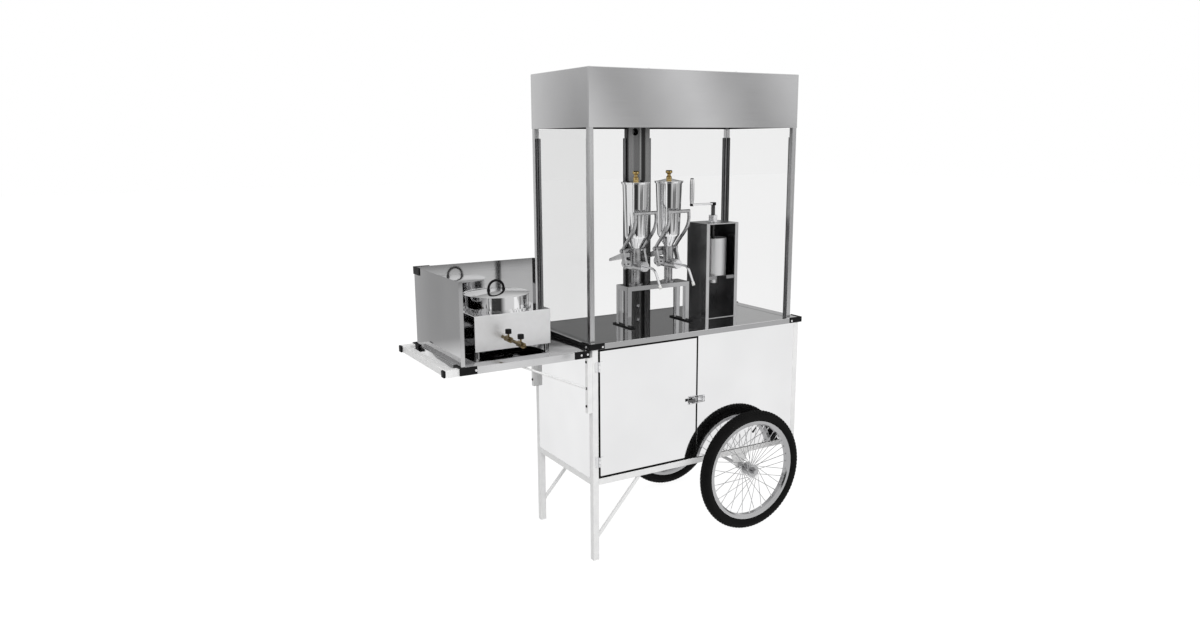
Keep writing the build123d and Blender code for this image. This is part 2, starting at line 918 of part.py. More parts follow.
def latch_base():
    base = block(latch_left, latch_right, latch_face, front, latch_low, latch_high)
    for side in (-1, 1):
        inner = latch_height + side * latch_ear_gap / 2
        faces = sorted((inner, inner + side * latch_sheet))
        ear_radius = 2 * latch_pin_radius
        base += block(
            latch_pin_x - ear_radius, latch_pin_x + ear_radius, latch_pin_y - ear_radius, latch_face, *faces
        )
    span = latch_ear_gap / 2 + latch_sheet
    pin = upright(latch_pin_x, latch_pin_y, latch_height - span, latch_height + span, latch_pin_radius)
    return base + pin


def latch_lever():
    half = latch_ear_gap / 2 - loose_clearance
    eye = upright(latch_pin_x, latch_pin_y, latch_height - half, latch_height + half, 2 * latch_pin_radius)
    plate = block(
        latch_pin_x - latch_arm_length - latch_lever_length, latch_pin_x, latch_pin_y - latch_sheet,
        latch_pin_y, latch_height - half, latch_height + half,
    )
    reach = bail_reach + bail_wire_radius
    cross_pin = upright(
        bail_pin_x, latch_pin_y, latch_height - reach, latch_height + reach, latch_pin_radius
    )
    bore = upright(latch_pin_x, latch_pin_y, latch_low, latch_high, latch_pin_radius + running_clearance)
    return eye + plate + cross_pin - bore


def latch_bail():
    wire = None
    eye_radius = latch_pin_radius + 2 * bail_wire_radius
    for side in (-1, 1):
        z = latch_height + side * bail_reach
        arm = crosswise(latch_pin_y, z, bail_pin_x, bail_tip_x, bail_wire_radius)
        arm += upright(bail_pin_x, latch_pin_y, z - bail_wire_radius, z + bail_wire_radius, eye_radius)
        wire = arm if wire is None else wire + arm
    low, high = latch_height - bail_reach, latch_height + bail_reach
    wire += upright(bail_tip_x, latch_pin_y, low, high, bail_wire_radius)
    for z in (low, high):
        wire += Pos(bail_tip_x, latch_pin_y, z) * Sphere(bail_wire_radius)
    bore = upright(bail_pin_x, latch_pin_y, latch_low, latch_high, latch_pin_radius + running_clearance)
    return wire - bore


def latch_strike():
    half = strike_size / 2
    plate_right = bail_tip_x + strike_size / 2
    plate = block(
        panel_left, plate_right, latch_face, front, latch_height - strike_size, latch_height + strike_size
    )
    peg_y = latch_pin_y - strike_reach / 2
    peg = block(
        strike_x - strike_reach, strike_x, peg_y, latch_face, latch_height - half / 2, latch_height + half / 2
    )
    return plate + peg


# Stand for the two dispensers
stand_x = left + stand_position
stand_y = front + stand_setback
stand_top = counter_height + stand_height


def dispenser_stand():
    half_length, half_depth = stand_length / 2, stand_depth / 2
    stand = lipped_tray(
        stand_x - half_length, stand_x + half_length, stand_y - half_depth, stand_y + half_depth,
        stand_top - stand_lip, stand_top, stand_sheet,
    )
    leg_bottom = counter_height + foot_bar_sheet
    leg_x = half_length - slim_tube / 2
    leg_y = half_depth - slim_tube / 2
    for x in (stand_x - leg_x, stand_x + leg_x):
        stand += block(
            x - foot_bar_width / 2, x + foot_bar_width / 2, stand_y - foot_bar_length / 2,
            stand_y + foot_bar_length / 2, counter_height, leg_bottom,
        )
        for y in (stand_y - leg_y, stand_y + leg_y):
            stand += square_tube((x, y, leg_bottom), (x, y, stand_top - stand_sheet), slim_tube, sheet)
    return stand


# Dispensers: hopper, pump body, plunger, yoke lever and bent nozzle
dispenser_xs = (stand_x - dispenser_spacing / 2, stand_x + dispenser_spacing / 2)
barrel_z = stand_top + barrel_height
dispenser_y = stand_y + dispenser_back
pivot_y = dispenser_y + pivot_back
pivot_z = barrel_z + pivot_rise
half_stroke = pivot_rise * tan(radians(yoke_stroke / 2))
cross_pin_rest = pivot_y - half_stroke
cross_pin_far = pivot_y + half_stroke
pivot_outer = pivot_boss_half + 2 * yoke_arm_gap + yoke_arm


def hopper(x):
    wall = hopper_sheet
    rim = hopper_top_radius + hopper_rim
    neck_end = barrel_z + socket_rise - neck_insert - stand_top
    return turned(
        [
            (neck_radius, neck_end), (neck_radius, hopper_throat), (hopper_shoulder_radius, hopper_shoulder),
            (hopper_top_radius, hopper_top - hopper_rim_height), (rim, hopper_top - hopper_rim_height),
            (rim, hopper_top), (hopper_top_radius - wall, hopper_top),
            (hopper_shoulder_radius - wall, hopper_shoulder + wall),
            (neck_radius - wall, hopper_throat + wall / 2), (neck_radius - wall, neck_end),
        ],
        x, dispenser_y, stand_top,
    )


def hopper_lid(x):
    rim = hopper_top_radius + hopper_rim + hopper_lid_overhang
    ring = hopper_top_radius - hopper_sheet - hopper_lid_ring_gap
    thickness = hopper_lid_sheet
    rise = hopper_lid_rise
    lid = turned(
        [
            (0, rise), (lid_knob_radius, rise), (ring - thickness, 0), (ring - thickness, -hopper_lid_ring),
            (ring, -hopper_lid_ring), (ring, 0), (rim, 0), (rim, thickness), (ring, thickness),
            (lid_knob_radius, rise + thickness), (0, rise + thickness),
        ],
        x, dispenser_y, stand_top + hopper_top,
    )
    knob = turned(
        [
            (0, 0), (lid_knob_base, 0), (lid_knob_base, lid_knob_height * 0.25),
            (lid_knob_stem, lid_knob_height * 0.35), (lid_knob_stem, lid_knob_height * 0.55),
            (lid_knob_radius, lid_knob_height * 0.7), (lid_knob_radius, lid_knob_height * 0.9),
            (lid_knob_base, lid_knob_height), (0, lid_knob_height),
        ],
        x, dispenser_y, stand_top + hopper_top + rise + thickness,
    )
    return [lid, knob]


def pump_body(x):
    barrel_low, barrel_high = dispenser_y - barrel_front, dispenser_y + barrel_back
    body = lengthwise(x, barrel_z, barrel_low, barrel_high, barrel_radius)
    body += upright(x, dispenser_y, stand_top, barrel_z, pillar_radius)
    body += upright(x, dispenser_y, stand_top, stand_top + pillar_flange, pillar_flange_radius)
    body += upright(x, dispenser_y, barrel_z, barrel_z + socket_rise, socket_radius)
    body += crosswise(pivot_y, pivot_z, x - pivot_boss_half, x + pivot_boss_half, pivot_boss_radius)
    root = Plane(origin=(x, dispenser_y + pillar_radius, pivot_z - tail_root_drop), z_dir=(0, 1, 0))
    tip = Plane(origin=(x, dispenser_y + tail_length, barrel_z), z_dir=(0, 1, 0))
    tail = loft(
        [
            root * RectangleRounded(tail_root_width, tail_root_height, tail_fillet),
            tip * RectangleRounded(tail_tip_width, tail_tip_height, tail_fillet),
        ]
    )
    body += tail
    bore_end = cross_pin_far + plunger_back + loose_clearance
    body -= lengthwise(x, barrel_z, barrel_low, bore_end, barrel_bore + running_clearance)
    neck_bottom = barrel_z + socket_rise - neck_insert
    neck_bore = neck_radius + running_clearance
    body -= upright(x, dispenser_y, neck_bottom, hopper_throat + stand_top, neck_bore)
    body -= upright(x, dispenser_y, barrel_z, neck_bottom, inlet_radius)
    slot_half = cross_pin_radius + loose_clearance
    body -= block(
        x - pivot_outer, x + pivot_outer, cross_pin_rest - slot_half, cross_pin_far + slot_half,
        barrel_z - slot_half, barrel_z + slot_half,
    )
    body += crosswise(pivot_y, pivot_z, x - pivot_outer, x - pivot_boss_half, pivot_pin_radius)
    body += crosswise(pivot_y, pivot_z, x + pivot_boss_half, x + pivot_outer, pivot_pin_radius)
    for side in (-1, 1):
        start = x + side * pivot_outer
        body += crosswise(pivot_y, pivot_z, start, start + side * pivot_head, pivot_head_radius)
    return body


def plunger(x):
    body = lengthwise(x, barrel_z, cross_pin_rest - plunger_front, cross_pin_rest + plunger_back, barrel_bore)
    return body + crosswise(cross_pin_rest, barrel_z, x - pivot_outer, x + pivot_outer, cross_pin_radius)


def yoke(x):
    slot_angle = radians(yoke_stroke / 2)
    slot_far = pivot_rise / cos(slot_angle)
    slot_width = 2 * (cross_pin_radius + cross_pin_slot_clearance)
    tail_y, tail_z = -sin(slot_angle), -cos(slot_angle)
    tail_turn = Rot(Z=degrees(atan2(tail_z, tail_y)))
    curve = Spline(
        (-yoke_bar_forward, yoke_bar_rise), (-yoke_elbow_forward, yoke_elbow_rise),
        (-yoke_waist_forward, yoke_waist_rise), (0, 0),
    )
    arm = trace(curve, yoke_arm_width)
    arm += Circle(yoke_eye_radius)
    tail_middle = (pivot_rise + slot_far) / 2
    tail_slot_length = slot_far - pivot_rise + 2 * cross_pin_slot_clearance
    tail_length_out = tail_middle + slot_width / 2 + yoke_arm_width / 2
    tail = SlotOverall(tail_length_out + yoke_arm_width, slot_width + yoke_arm_width)
    arm += tail_turn * Pos(tail_length_out / 2, 0) * tail
    arm -= tail_turn * Pos(tail_middle, 0) * SlotCenterToCenter(tail_slot_length, slot_width)
    arm -= Circle(pivot_pin_radius + running_clearance)
    arm_seat = Plane(origin=(x, pivot_y, pivot_z), x_dir=(0, 1, 0), z_dir=(1, 0, 0))
    inner = pivot_boss_half + yoke_arm_gap
    result = None
    for side in (-1, 1):
        offset = side * (inner + yoke_arm / 2)
        solid = arm_seat * Pos(0, 0, offset) * extrude(arm, yoke_arm / 2, both=True)
        result = solid if result is None else result + solid
    bar_y, bar_z = pivot_y - yoke_bar_forward, pivot_z + yoke_bar_rise
    reach = inner + yoke_arm
    return result + crosswise(bar_y, bar_z, x - reach, x + reach, yoke_bar_radius)


def filling_nozzle(x):
    nut_front = dispenser_y - barrel_front - nozzle_nut_length
    nut = lengthwise(x, barrel_z, nut_front, dispenser_y - barrel_front, nozzle_nut_radius)
    start = (x, nut_front, barrel_z)
    bend_start = (x, nut_front - nozzle_straight, barrel_z)
    bend = radians(nozzle_bend)

    def on_bend(angle):
        forward = nozzle_bend_radius * sin(angle)
        return (x, bend_start[1] - forward, barrel_z - nozzle_bend_radius * (1 - cos(angle)))

    middle, bend_end = on_bend(bend / 2), on_bend(bend)
    end = (x, bend_end[1] - nozzle_drop * cos(bend), bend_end[2] - nozzle_drop * sin(bend))
    path = Wire([Line(start, bend_start), ThreePointArc(bend_start, middle, bend_end), Line(bend_end, end)])
    section = Plane(origin=start, z_dir=(0, -1, 0)) * Circle(nozzle_radius)
    hollow = Plane(origin=start, z_dir=(0, -1, 0)) * Circle(nozzle_radius - nozzle_wall)
    pipe = sweep(section, path=path) - sweep(hollow, path=path)
    bore = lengthwise(x, barrel_z, nut_front, dispenser_y - barrel_front, nozzle_radius - nozzle_wall)
    tip_end = (
        x, end[1] - nozzle_tip_length * cos(bend), end[2] - nozzle_tip_length * sin(bend)
    )
    tip = rod(end, tip_end, nozzle_tip_radius, nozzle_radius - nozzle_wall)
    return [nut - bore + pipe, tip]


# Churro press: open-fronted housing, dough cylinder, screw, piston and crank
press_x = left + press_position
press_y = front + press_setback
press_top = counter_height + press_height
press_shelf_top = counter_height + press_shelf_height + press_shelf_sheet
cylinder_top = press_shelf_top + cylinder_height
cylinder_bore = cylinder_radius - cylinder_wall
piston_bottom = press_shelf_top + cylinder_floor + piston_rest_gap
piston_top = piston_bottom + piston_height
crank_z = counter_height + screw_top - crank_hub_height / 2
crank_x = press_x - crank_arm_length


def press_housing():
    half_width, half_depth = press_width / 2, press_depth / 2
    x_low, x_high = press_x - half_width, press_x + half_width
    y_low, y_high = press_y - half_depth, press_y + half_depth
    box = block(x_low, x_high, y_low, y_high, counter_height, press_top)
    box -= block(
        x_low + press_sheet, x_high - press_sheet, y_low + press_sheet, y_high - press_sheet,
        counter_height + press_sheet, press_top - press_top_plate,
    )
    box -= block(
        x_low + press_flange, x_high - press_flange, y_low, y_low + press_sheet,
        counter_height + press_sheet, press_top - press_top_plate,
    )
    shelf = block(
        x_low + press_sheet, x_high - press_sheet, y_low + press_sheet, y_high - press_sheet,
        press_shelf_top - press_shelf_sheet, press_shelf_top,
    )
    shelf += block(
        x_low + press_sheet, x_high - press_sheet, y_low + press_sheet, y_low + 2 * press_sheet,
        press_shelf_top - press_shelf_lip, press_shelf_top,
    )
    shelf -= block(
        press_x - press_notch / 2, press_x + press_notch / 2, y_low, press_y,
        press_shelf_top - press_shelf_lip, press_shelf_top,
    )
    shelf -= Pos(press_x, press_y, press_shelf_top) * Cylinder(press_notch / 2, 4 * press_shelf_sheet)
    bore = Cylinder(screw_radius + loose_clearance, 4 * press_top_plate)
    return box + shelf - Pos(press_x, press_y, press_top) * bore


def dough_cylinder():
    floor = press_shelf_top
    neck_bottom = floor - nozzle_neck_length
    body = upright(press_x, press_y, floor, cylinder_top, cylinder_radius)
    body += upright(press_x, press_y, neck_bottom, floor, nozzle_neck_radius)
    body -= upright(press_x, press_y, floor + cylinder_floor, cylinder_top, cylinder_bore)
    neck_bore = nozzle_neck_radius - nozzle_neck_wall
    body -= upright(press_x, press_y, neck_bottom + nozzle_neck_wall, floor + cylinder_floor, neck_bore)
    points = []
    for index in range(2 * star_points):
        angle = pi * index / star_points
        radius = star_inner if index % 2 else star_outer
        points.append((radius * cos(angle), radius * sin(angle)))
    star = Plane(origin=(press_x, press_y, neck_bottom)) * make_face(Polyline(*points, close=True))
    return body - extrude(star, nozzle_neck_wall)


def press_nut():
    body = upright(press_x, press_y, press_top, press_top + nut_flange, nut_flange_radius)
    hexagon = Plane(origin=(press_x, press_y, press_top)) * RegularPolygon(nut_radius, 6)
    body += extrude(hexagon, nut_height)
    bore = screw_radius + running_clearance
    return body - upright(press_x, press_y, press_top, press_top + nut_height, bore)


def press_screw():
    foot = piston_top - piston_socket
    return upright(press_x, press_y, foot, counter_height + screw_top, screw_radius)


def press_piston():
    body = upright(press_x, press_y, piston_bottom, piston_top, cylinder_bore - piston_clearance)
    foot = piston_top - piston_socket
    return body - upright(press_x, press_y, foot, piston_top, screw_radius + running_clearance)


def press_crank():
    half_hub = crank_hub_height / 2
    half_arm = crank_arm_sheet / 2
    body = upright(press_x, press_y, crank_z - half_hub, crank_z + half_hub, crank_hub_radius)
    arm = Plane(origin=((press_x + crank_x) / 2, press_y, crank_z - half_arm)) * SlotCenterToCenter(
        crank_arm_length, crank_arm_width
    )
    body += extrude(arm, crank_arm_sheet)
    pin_top = crank_z + half_arm + grip_length + 2 * grip_end_play
    body += upright(crank_x, press_y, crank_z - half_hub, pin_top, crank_pin_radius)
    body += upright(crank_x, press_y, pin_top, pin_top + crank_head, crank_head_radius)
    body += upright(crank_x, press_y, crank_z - half_hub, crank_z - half_arm, crank_head_radius)
    bore = screw_radius + running_clearance
    return body - upright(press_x, press_y, crank_z - half_hub, crank_z + half_hub, bore)


def crank_grip():
    low = crank_z + crank_arm_sheet / 2 + grip_end_play
    bore = crank_pin_radius + running_clearance
    return turned(
        [
            (bore, 0), (grip_end_radius, 0), (grip_radius, grip_length / 5),
            (grip_radius, grip_length * 4 / 5), (grip_end_radius, grip_length), (bore, grip_length),
        ],
        crank_x, press_y, low,
    )


os.makedirs("parts", exist_ok=True)
save("frame_uprights", *frame_uprights())
save("frame_rails", *frame_rails())
save("leg_braces", *leg_braces())
save("floor_panel", floor_panel())
save("left_panel", side_panel(left, 1))
save("right_panel", side_panel(right, -1))
save("back_panel", back_panel())
save("front_panel", front_panel())
save("counter_top", counter_top())
save("corner_caps", *corner_caps())
save("axle", axle())
save("axle_hangers", *axle_hangers())
for wheel, plane in (("front", -wheel_plane), ("back", wheel_plane)):
    save(f"{wheel}_tyre", tyre(plane))
    save(f"{wheel}_rim", rim(plane))
    save(f"{wheel}_spoked_hub", spoked_hub(plane))
save("shelf_tray", shelf_tray())
save("push_handle", push_handle())
save("handle_end_caps", *handle_end_caps())
save("shelf_uprights", *shelf_uprights())
save("stay_rods", *stay_rods())
save("windbreak", windbreak())
save("fryer_box", fryer_box())
save("burner", burner())
save("gas_manifold", gas_manifold())
save("rear_gas_knob", gas_knob(valve_ys[0]))
save("front_gas_knob", gas_knob(valve_ys[1]))
save("fryer_pot", fryer_pot())
save("pot_lid", pot_lid())
save("pot_lid_handle", pot_lid_handle())
save("canopy", canopy())
save("canopy_posts", *canopy_posts())
save("centre_column", centre_column())
panes, channels = glazing()
save("glass_panes", *panes)
save("glass_channels", *channels)
save("door", *door())
save("door_hinges", *door_hinges())
save("latch_base", latch_base())
save("latch_lever", latch_lever())
save("latch_bail", latch_bail())
save("latch_strike", latch_strike())
save("dispenser_stand", dispenser_stand())
save("hoppers", *[hopper(x) for x in dispenser_xs])
save("pump_bodies", *[pump_body(x) for x in dispenser_xs])
save("filling_nozzles", *[solid for x in dispenser_xs for solid in filling_nozzle(x)])
for side, x in zip(("left", "right"), dispenser_xs):
    save(f"{side}_hopper_lid", *hopper_lid(x))
    save(f"{side}_yoke", yoke(x))
    save(f"{side}_plunger", plunger(x))
save("press_housing", press_housing())
save("dough_cylinder", dough_cylinder())
save("press_nut", press_nut())
save("press_screw", press_screw())
save("press_piston", press_piston())
save("press_crank", press_crank())
save("crank_grip", crank_grip())
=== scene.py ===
import bmesh
import bpy
import json
import math
from mathutils import Matrix, Vector


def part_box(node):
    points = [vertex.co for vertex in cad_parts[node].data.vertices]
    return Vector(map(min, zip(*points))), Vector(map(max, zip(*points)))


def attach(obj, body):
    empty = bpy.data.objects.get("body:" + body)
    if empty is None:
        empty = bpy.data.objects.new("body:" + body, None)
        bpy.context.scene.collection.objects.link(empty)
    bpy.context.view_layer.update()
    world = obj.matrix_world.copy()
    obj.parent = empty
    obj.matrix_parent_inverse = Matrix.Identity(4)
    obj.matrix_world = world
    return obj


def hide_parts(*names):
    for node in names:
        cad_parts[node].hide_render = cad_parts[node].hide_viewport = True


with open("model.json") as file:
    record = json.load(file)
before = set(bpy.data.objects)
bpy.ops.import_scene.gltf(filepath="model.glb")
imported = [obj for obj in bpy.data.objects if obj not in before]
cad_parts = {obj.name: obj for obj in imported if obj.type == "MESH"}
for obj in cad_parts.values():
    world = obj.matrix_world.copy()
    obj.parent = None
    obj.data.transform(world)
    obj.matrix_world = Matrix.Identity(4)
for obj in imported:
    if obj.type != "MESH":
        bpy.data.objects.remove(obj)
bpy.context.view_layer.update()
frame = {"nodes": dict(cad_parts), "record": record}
cadNodes = frame["nodes"]
bodies = frame["record"]["behaviour"]["bodies"]
bodyOf = {node: body for body, members in bodies.items() for node in members}
slotOf = {row["node"]: row["material_slot"] for row in frame["record"]["subparts"]}
print("frame loaded,", len(cadNodes), "nodes")


# Selecting and finishing, used by every piece

cleanUp = dict(closeReach=0.00001, copyReach=0.000005, flatAngle=0.4, cornerAngle=35, smoothAngle=32)
hair = 0.0001  # a hair's breadth, for tests of where a plane lies
square = 0.99  # how straight an edge or a face has to stand


def clearSelection():
    if bpy.context.object and bpy.context.object.mode != "OBJECT":
        bpy.ops.object.mode_set(mode="OBJECT")
    bpy.ops.object.select_all(action="DESELECT")


def pickPiece(piece):
    clearSelection()
    piece.select_set(True)
    bpy.context.view_layer.objects.active = piece


def pickFaces(piece, wanted):  # faces chosen by centre and normal, left in edit mode
    pickPiece(piece)
    bpy.ops.object.mode_set(mode="EDIT")
    bpy.ops.mesh.select_mode(type="FACE")
    bpy.ops.mesh.select_all(action="DESELECT")
    shape = bmesh.from_edit_mesh(piece.data)
    for face in shape.faces:
        if wanted(face.calc_center_median(), face.normal):
            face.select_set(True)
    bmesh.update_edit_mesh(piece.data)


def pickEdges(piece, wanted):  # edges chosen by a test, left in edit mode
    pickPiece(piece)
    bpy.ops.object.mode_set(mode="EDIT")
    bpy.ops.mesh.select_mode(type="EDGE")
    bpy.ops.mesh.select_all(action="DESELECT")
    shape = bmesh.from_edit_mesh(piece.data)
    for edge in shape.edges:
        if wanted(edge):
            edge.select_set(True)
    bmesh.update_edit_mesh(piece.data)


def isOuterEdge(edge):  # a corner that sticks out
    return (edge.is_manifold and edge.is_convex
            and edge.calc_face_angle() > math.radians(cleanUp["cornerAngle"]))


def roundEdges(piece, width, segments, wanted):
    pickEdges(piece, wanted)
    bpy.ops.mesh.bevel(offset=width, segments=segments, affect="EDGES", clamp_overlap=True)
    bpy.ops.object.mode_set(mode="OBJECT")


def closeMesh(piece):  # merges seams and poles, then turns the faces outwards
    pickPiece(piece)
    bpy.ops.object.mode_set(mode="EDIT")
    bpy.ops.mesh.select_all(action="SELECT")
    bpy.ops.mesh.remove_doubles(threshold=cleanUp["closeReach"])
    bpy.ops.mesh.normals_make_consistent(inside=False)
    bpy.ops.object.mode_set(mode="OBJECT")


def dressPiece(piece, body, finish):
    pickPiece(piece)
    bpy.ops.object.transform_apply(location=True, rotation=True, scale=True)
    bpy.ops.object.shade_smooth_by_angle(angle=math.radians(cleanUp["smoothAngle"]))
    evenNormals = piece.modifiers.new("evenNormals", "WEIGHTED_NORMAL")  # keeps faces flat beside bevels
    evenNormals.keep_sharp = True
    evenNormals.weight = 100
    bpy.ops.object.modifier_apply(modifier=evenNormals.name)
    piece.data.materials.clear()
    piece.data.materials.append(finish)
    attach(piece, body)
    return piece


def copyNode(nodeName):  # a merged copy of a CAD node's mesh, free to be shaped
    piece = bpy.data.objects.new(nodeName + "_shaped", cadNodes[nodeName].data.copy())
    bpy.context.scene.collection.objects.link(piece)
    pickPiece(piece)
    bpy.ops.mesh.customdata_custom_splitnormals_clear()
    bpy.ops.object.mode_set(mode="EDIT")
    bpy.ops.mesh.select_all(action="SELECT")
    bpy.ops.mesh.remove_doubles(threshold=cleanUp["copyReach"])
    bpy.ops.mesh.dissolve_limited(angle_limit=math.radians(cleanUp["flatAngle"]))
    bpy.ops.object.mode_set(mode="OBJECT")
    piece.data.materials.clear()
    return piece


def copyTo(master, name, matrix):  # one more of a repeated piece, with its own mesh
    twin = bpy.data.objects.new(name, master.data.copy())
    bpy.context.scene.collection.objects.link(twin)
    twin.data.transform(matrix)
    return twin


def joinPieces(name, parts):
    clearSelection()
    for part in parts:
        part.select_set(True)
    bpy.context.view_layer.objects.active = parts[0]
    if len(parts) > 1:
        bpy.ops.object.join()
    piece = bpy.context.view_layer.objects.active
    piece.name = name
    piece.data.name = name
    return piece


def dropPiece(piece):
    clearSelection()
    bpy.data.objects.remove(piece)


def facing(direction):  # turns a piece modelled along +Z to face a direction
    return Vector(direction).to_track_quat("Z", "Y").to_matrix().to_4x4()


def drawPoints(points):  # the active plane becomes one vertex, drawn out from point to point
    bpy.ops.object.mode_set(mode="EDIT")
    bpy.ops.mesh.select_mode(type="VERT")
    bpy.ops.mesh.select_all(action="SELECT")
    bpy.ops.mesh.merge(type="CENTER")
    bpy.ops.transform.translate(value=points[0])
    for here, there in zip(points, points[1:]):
        bpy.ops.mesh.extrude_region_move(TRANSFORM_OT_translate={"value": there - here})
    bpy.ops.object.mode_set(mode="OBJECT")


def turnProfile(name, profile, centre, axis, steps):  # (radius, height) points, spun about Y or Z
    clearSelection()
    bpy.ops.mesh.primitive_plane_add(size=0.01, location=(0, 0, 0))
    piece = bpy.context.object
    piece.name = name
    piece.data.name = name
    if axis == "Z":
        points = [Vector((centre[0] + r, centre[1], centre[2] + h)) for r, h in profile]
        around = (0, 0, 1)
    else:
        points = [Vector((centre[0] + r, centre[1] + h, centre[2])) for r, h in profile]
        around = (0, 1, 0)
    drawPoints(points)
    bpy.ops.object.mode_set(mode="EDIT")
    bpy.ops.mesh.select_all(action="SELECT")
    bpy.ops.mesh.spin(steps=steps, angle=2 * math.pi, center=centre, axis=around)
    bpy.ops.object.mode_set(mode="OBJECT")
    closeMesh(piece)
    return piece


# Finishes, one small node tree each, on Object coordinates and, for the glass, its face's direction

noiseSpan = dict(low=0.3, high=0.7)  # where a noise field mostly lies


def feed(tree, node, sockets):  # each input gets a value, or a link from another node's output
    for socket, value in sockets.items():
        if isinstance(value, bpy.types.NodeSocket):
            tree.links.new(value, node.inputs[socket])
        else:
            node.inputs[socket].default_value = value
    return node


def addNode(tree, kind, sockets=None, operation=None):
    node = tree.nodes.new("ShaderNode" + kind)
    if operation:
        node.operation = operation
    return feed(tree, node, sockets or {})


def splitUp(tree, kind, output):  # the X, Y and Z of a place or a direction
    source = addNode(tree, kind).outputs[output]
    return addNode(tree, "SeparateXYZ", {"Vector": source}).outputs


def shareOf(tree, value, start, end):  # 0 at the start, 1 at the end
    return addNode(tree, "MapRange", {"Value": value, "From Min": start, "From Max": end}).outputs["Result"]


def newFinish(name, sockets):
    material = bpy.data.materials.new(name)
    material.use_nodes = True
    tree = material.node_tree
    return material, tree, feed(tree, tree.nodes["Principled BSDF"], sockets)


def grainField(tree, stretch, detail=3.0, rough=0.55):
    place = addNode(tree, "TexCoord").outputs["Object"]
    mapping = addNode(tree, "Mapping", {"Vector": place, "Scale": stretch})
    field = addNode(tree, "TexNoise", {"Vector": mapping.outputs["Vector"], "Scale": 1.0, "Detail": detail,
                                       "Roughness": rough})
    return field.outputs[0]


def spanField(tree, field, low, high, socket):
    span = addNode(tree, "MapRange", {"Value": field, "From Min": noiseSpan["low"],
                                      "From Max": noiseSpan["high"], "To Min": low, "To Max": high})
    tree.links.new(span.outputs["Result"], socket)


def tintField(tree, field, dark, light, socket):
    ramp = addNode(tree, "ValToRGB", {"Fac": field})
    ramp.color_ramp.elements[0].position = noiseSpan["low"]
    ramp.color_ramp.elements[1].position = noiseSpan["high"]
    ramp.color_ramp.elements[0].color = (*dark, 1)
    ramp.color_ramp.elements[1].color = (*light, 1)
    tree.links.new(ramp.outputs["Color"], socket)


def raiseField(tree, shader, field, strength, depth, below=None):
    bump = addNode(tree, "Bump", {"Strength": strength, "Distance": depth, "Height": field})
    if below is not None:
        tree.links.new(below.outputs["Normal"], bump.inputs["Normal"])
    tree.links.new(bump.outputs["Normal"], shader.inputs["Normal"])
    return bump


def flatGrey(level):
    return level, level, level, 1


def setStops(colourRamp, bands, greys):  # each band is a place and the name of its grey
    stops = [(place, flatGrey(greys[name])) for place, name in bands]
    colourRamp.elements[0].position, colourRamp.elements[0].color = stops[0]
    colourRamp.elements[1].position, colourRamp.elements[1].color = stops[-1]
    for place, colour in stops[1:-1]:
        colourRamp.elements.new(place).color = colour


sheetGrain = dict(clouds=(3.1, 3.1, 3.1), waveDepth=0.002, brush=0.02, brushDepth=0.0002, brushRough=0.7)


def steelFinish(name, dark, light, smoothest, roughest, lines, wave):  # stainless, polished or brushed
    material, tree, shader = newFinish(name, {"Metallic": 1.0})
    clouds = grainField(tree, sheetGrain["clouds"], detail=2.0)
    brushed = grainField(tree, lines, detail=2.0, rough=sheetGrain["brushRough"])
    tintField(tree, clouds, dark, light, shader.inputs["Base Color"])
    spanField(tree, brushed, smoothest, roughest, shader.inputs["Roughness"])
    rolling = raiseField(tree, shader, clouds, wave, sheetGrain["waveDepth"])
    raiseField(tree, shader, brushed, sheetGrain["brush"], sheetGrain["brushDepth"], rolling)
    return material


castGrain = dict(mottle=(40, 40, 40), skinRough=0.65, skinRise=0.25)


def castFinish(name, dark, light, metal, smoothest, roughest, grain, depth, gloss=0.5):  # cast or moulded
    material, tree, shader = newFinish(name, {"Metallic": metal, "Specular IOR Level": gloss})
    mottle = grainField(tree, castGrain["mottle"], detail=3.0)
    skin = grainField(tree, (grain, grain, grain), detail=4.0, rough=castGrain["skinRough"])
    tintField(tree, mottle, dark, light, shader.inputs["Base Color"])
    spanField(tree, mottle, smoothest, roughest, shader.inputs["Roughness"])
    raiseField(tree, shader, skin, castGrain["skinRise"], depth)
    return material


crownGrain = dict(clouds=(7, 7, 7))


def crownFinish(name, dark, light, smoothest, roughest, crown, roll):  # sheet that bulges along Y and rolls
    material, tree, shader = newFinish(name, {"Metallic": 1.0})
    clouds = grainField(tree, crownGrain["clouds"], detail=1.0)
    tintField(tree, clouds, dark, light, shader.inputs["Base Color"])
    spanField(tree, clouds, smoothest, roughest, shader.inputs["Roughness"])
    along = splitUp(tree, "TexCoord", "Object")["Y"]
    squared = addNode(tree, "Math", {0: along, 1: along}, "MULTIPLY")
    bulge = raiseField(tree, shader, squared.outputs[0], 1.0, crown)
    bulge.invert = True
    raiseField(tree, shader, clouds, 1.0, roll, bulge)
    return material


pane = dict(dark=(0.05, 0.055, 0.055), light=(0.08, 0.085, 0.085), haze=(2.0, 2.0, 2.0), roughness=0.02,
            side=0.08, rear=0.085, cutEdge=0.7, cutFrom=0.4, cutTo=0.9)


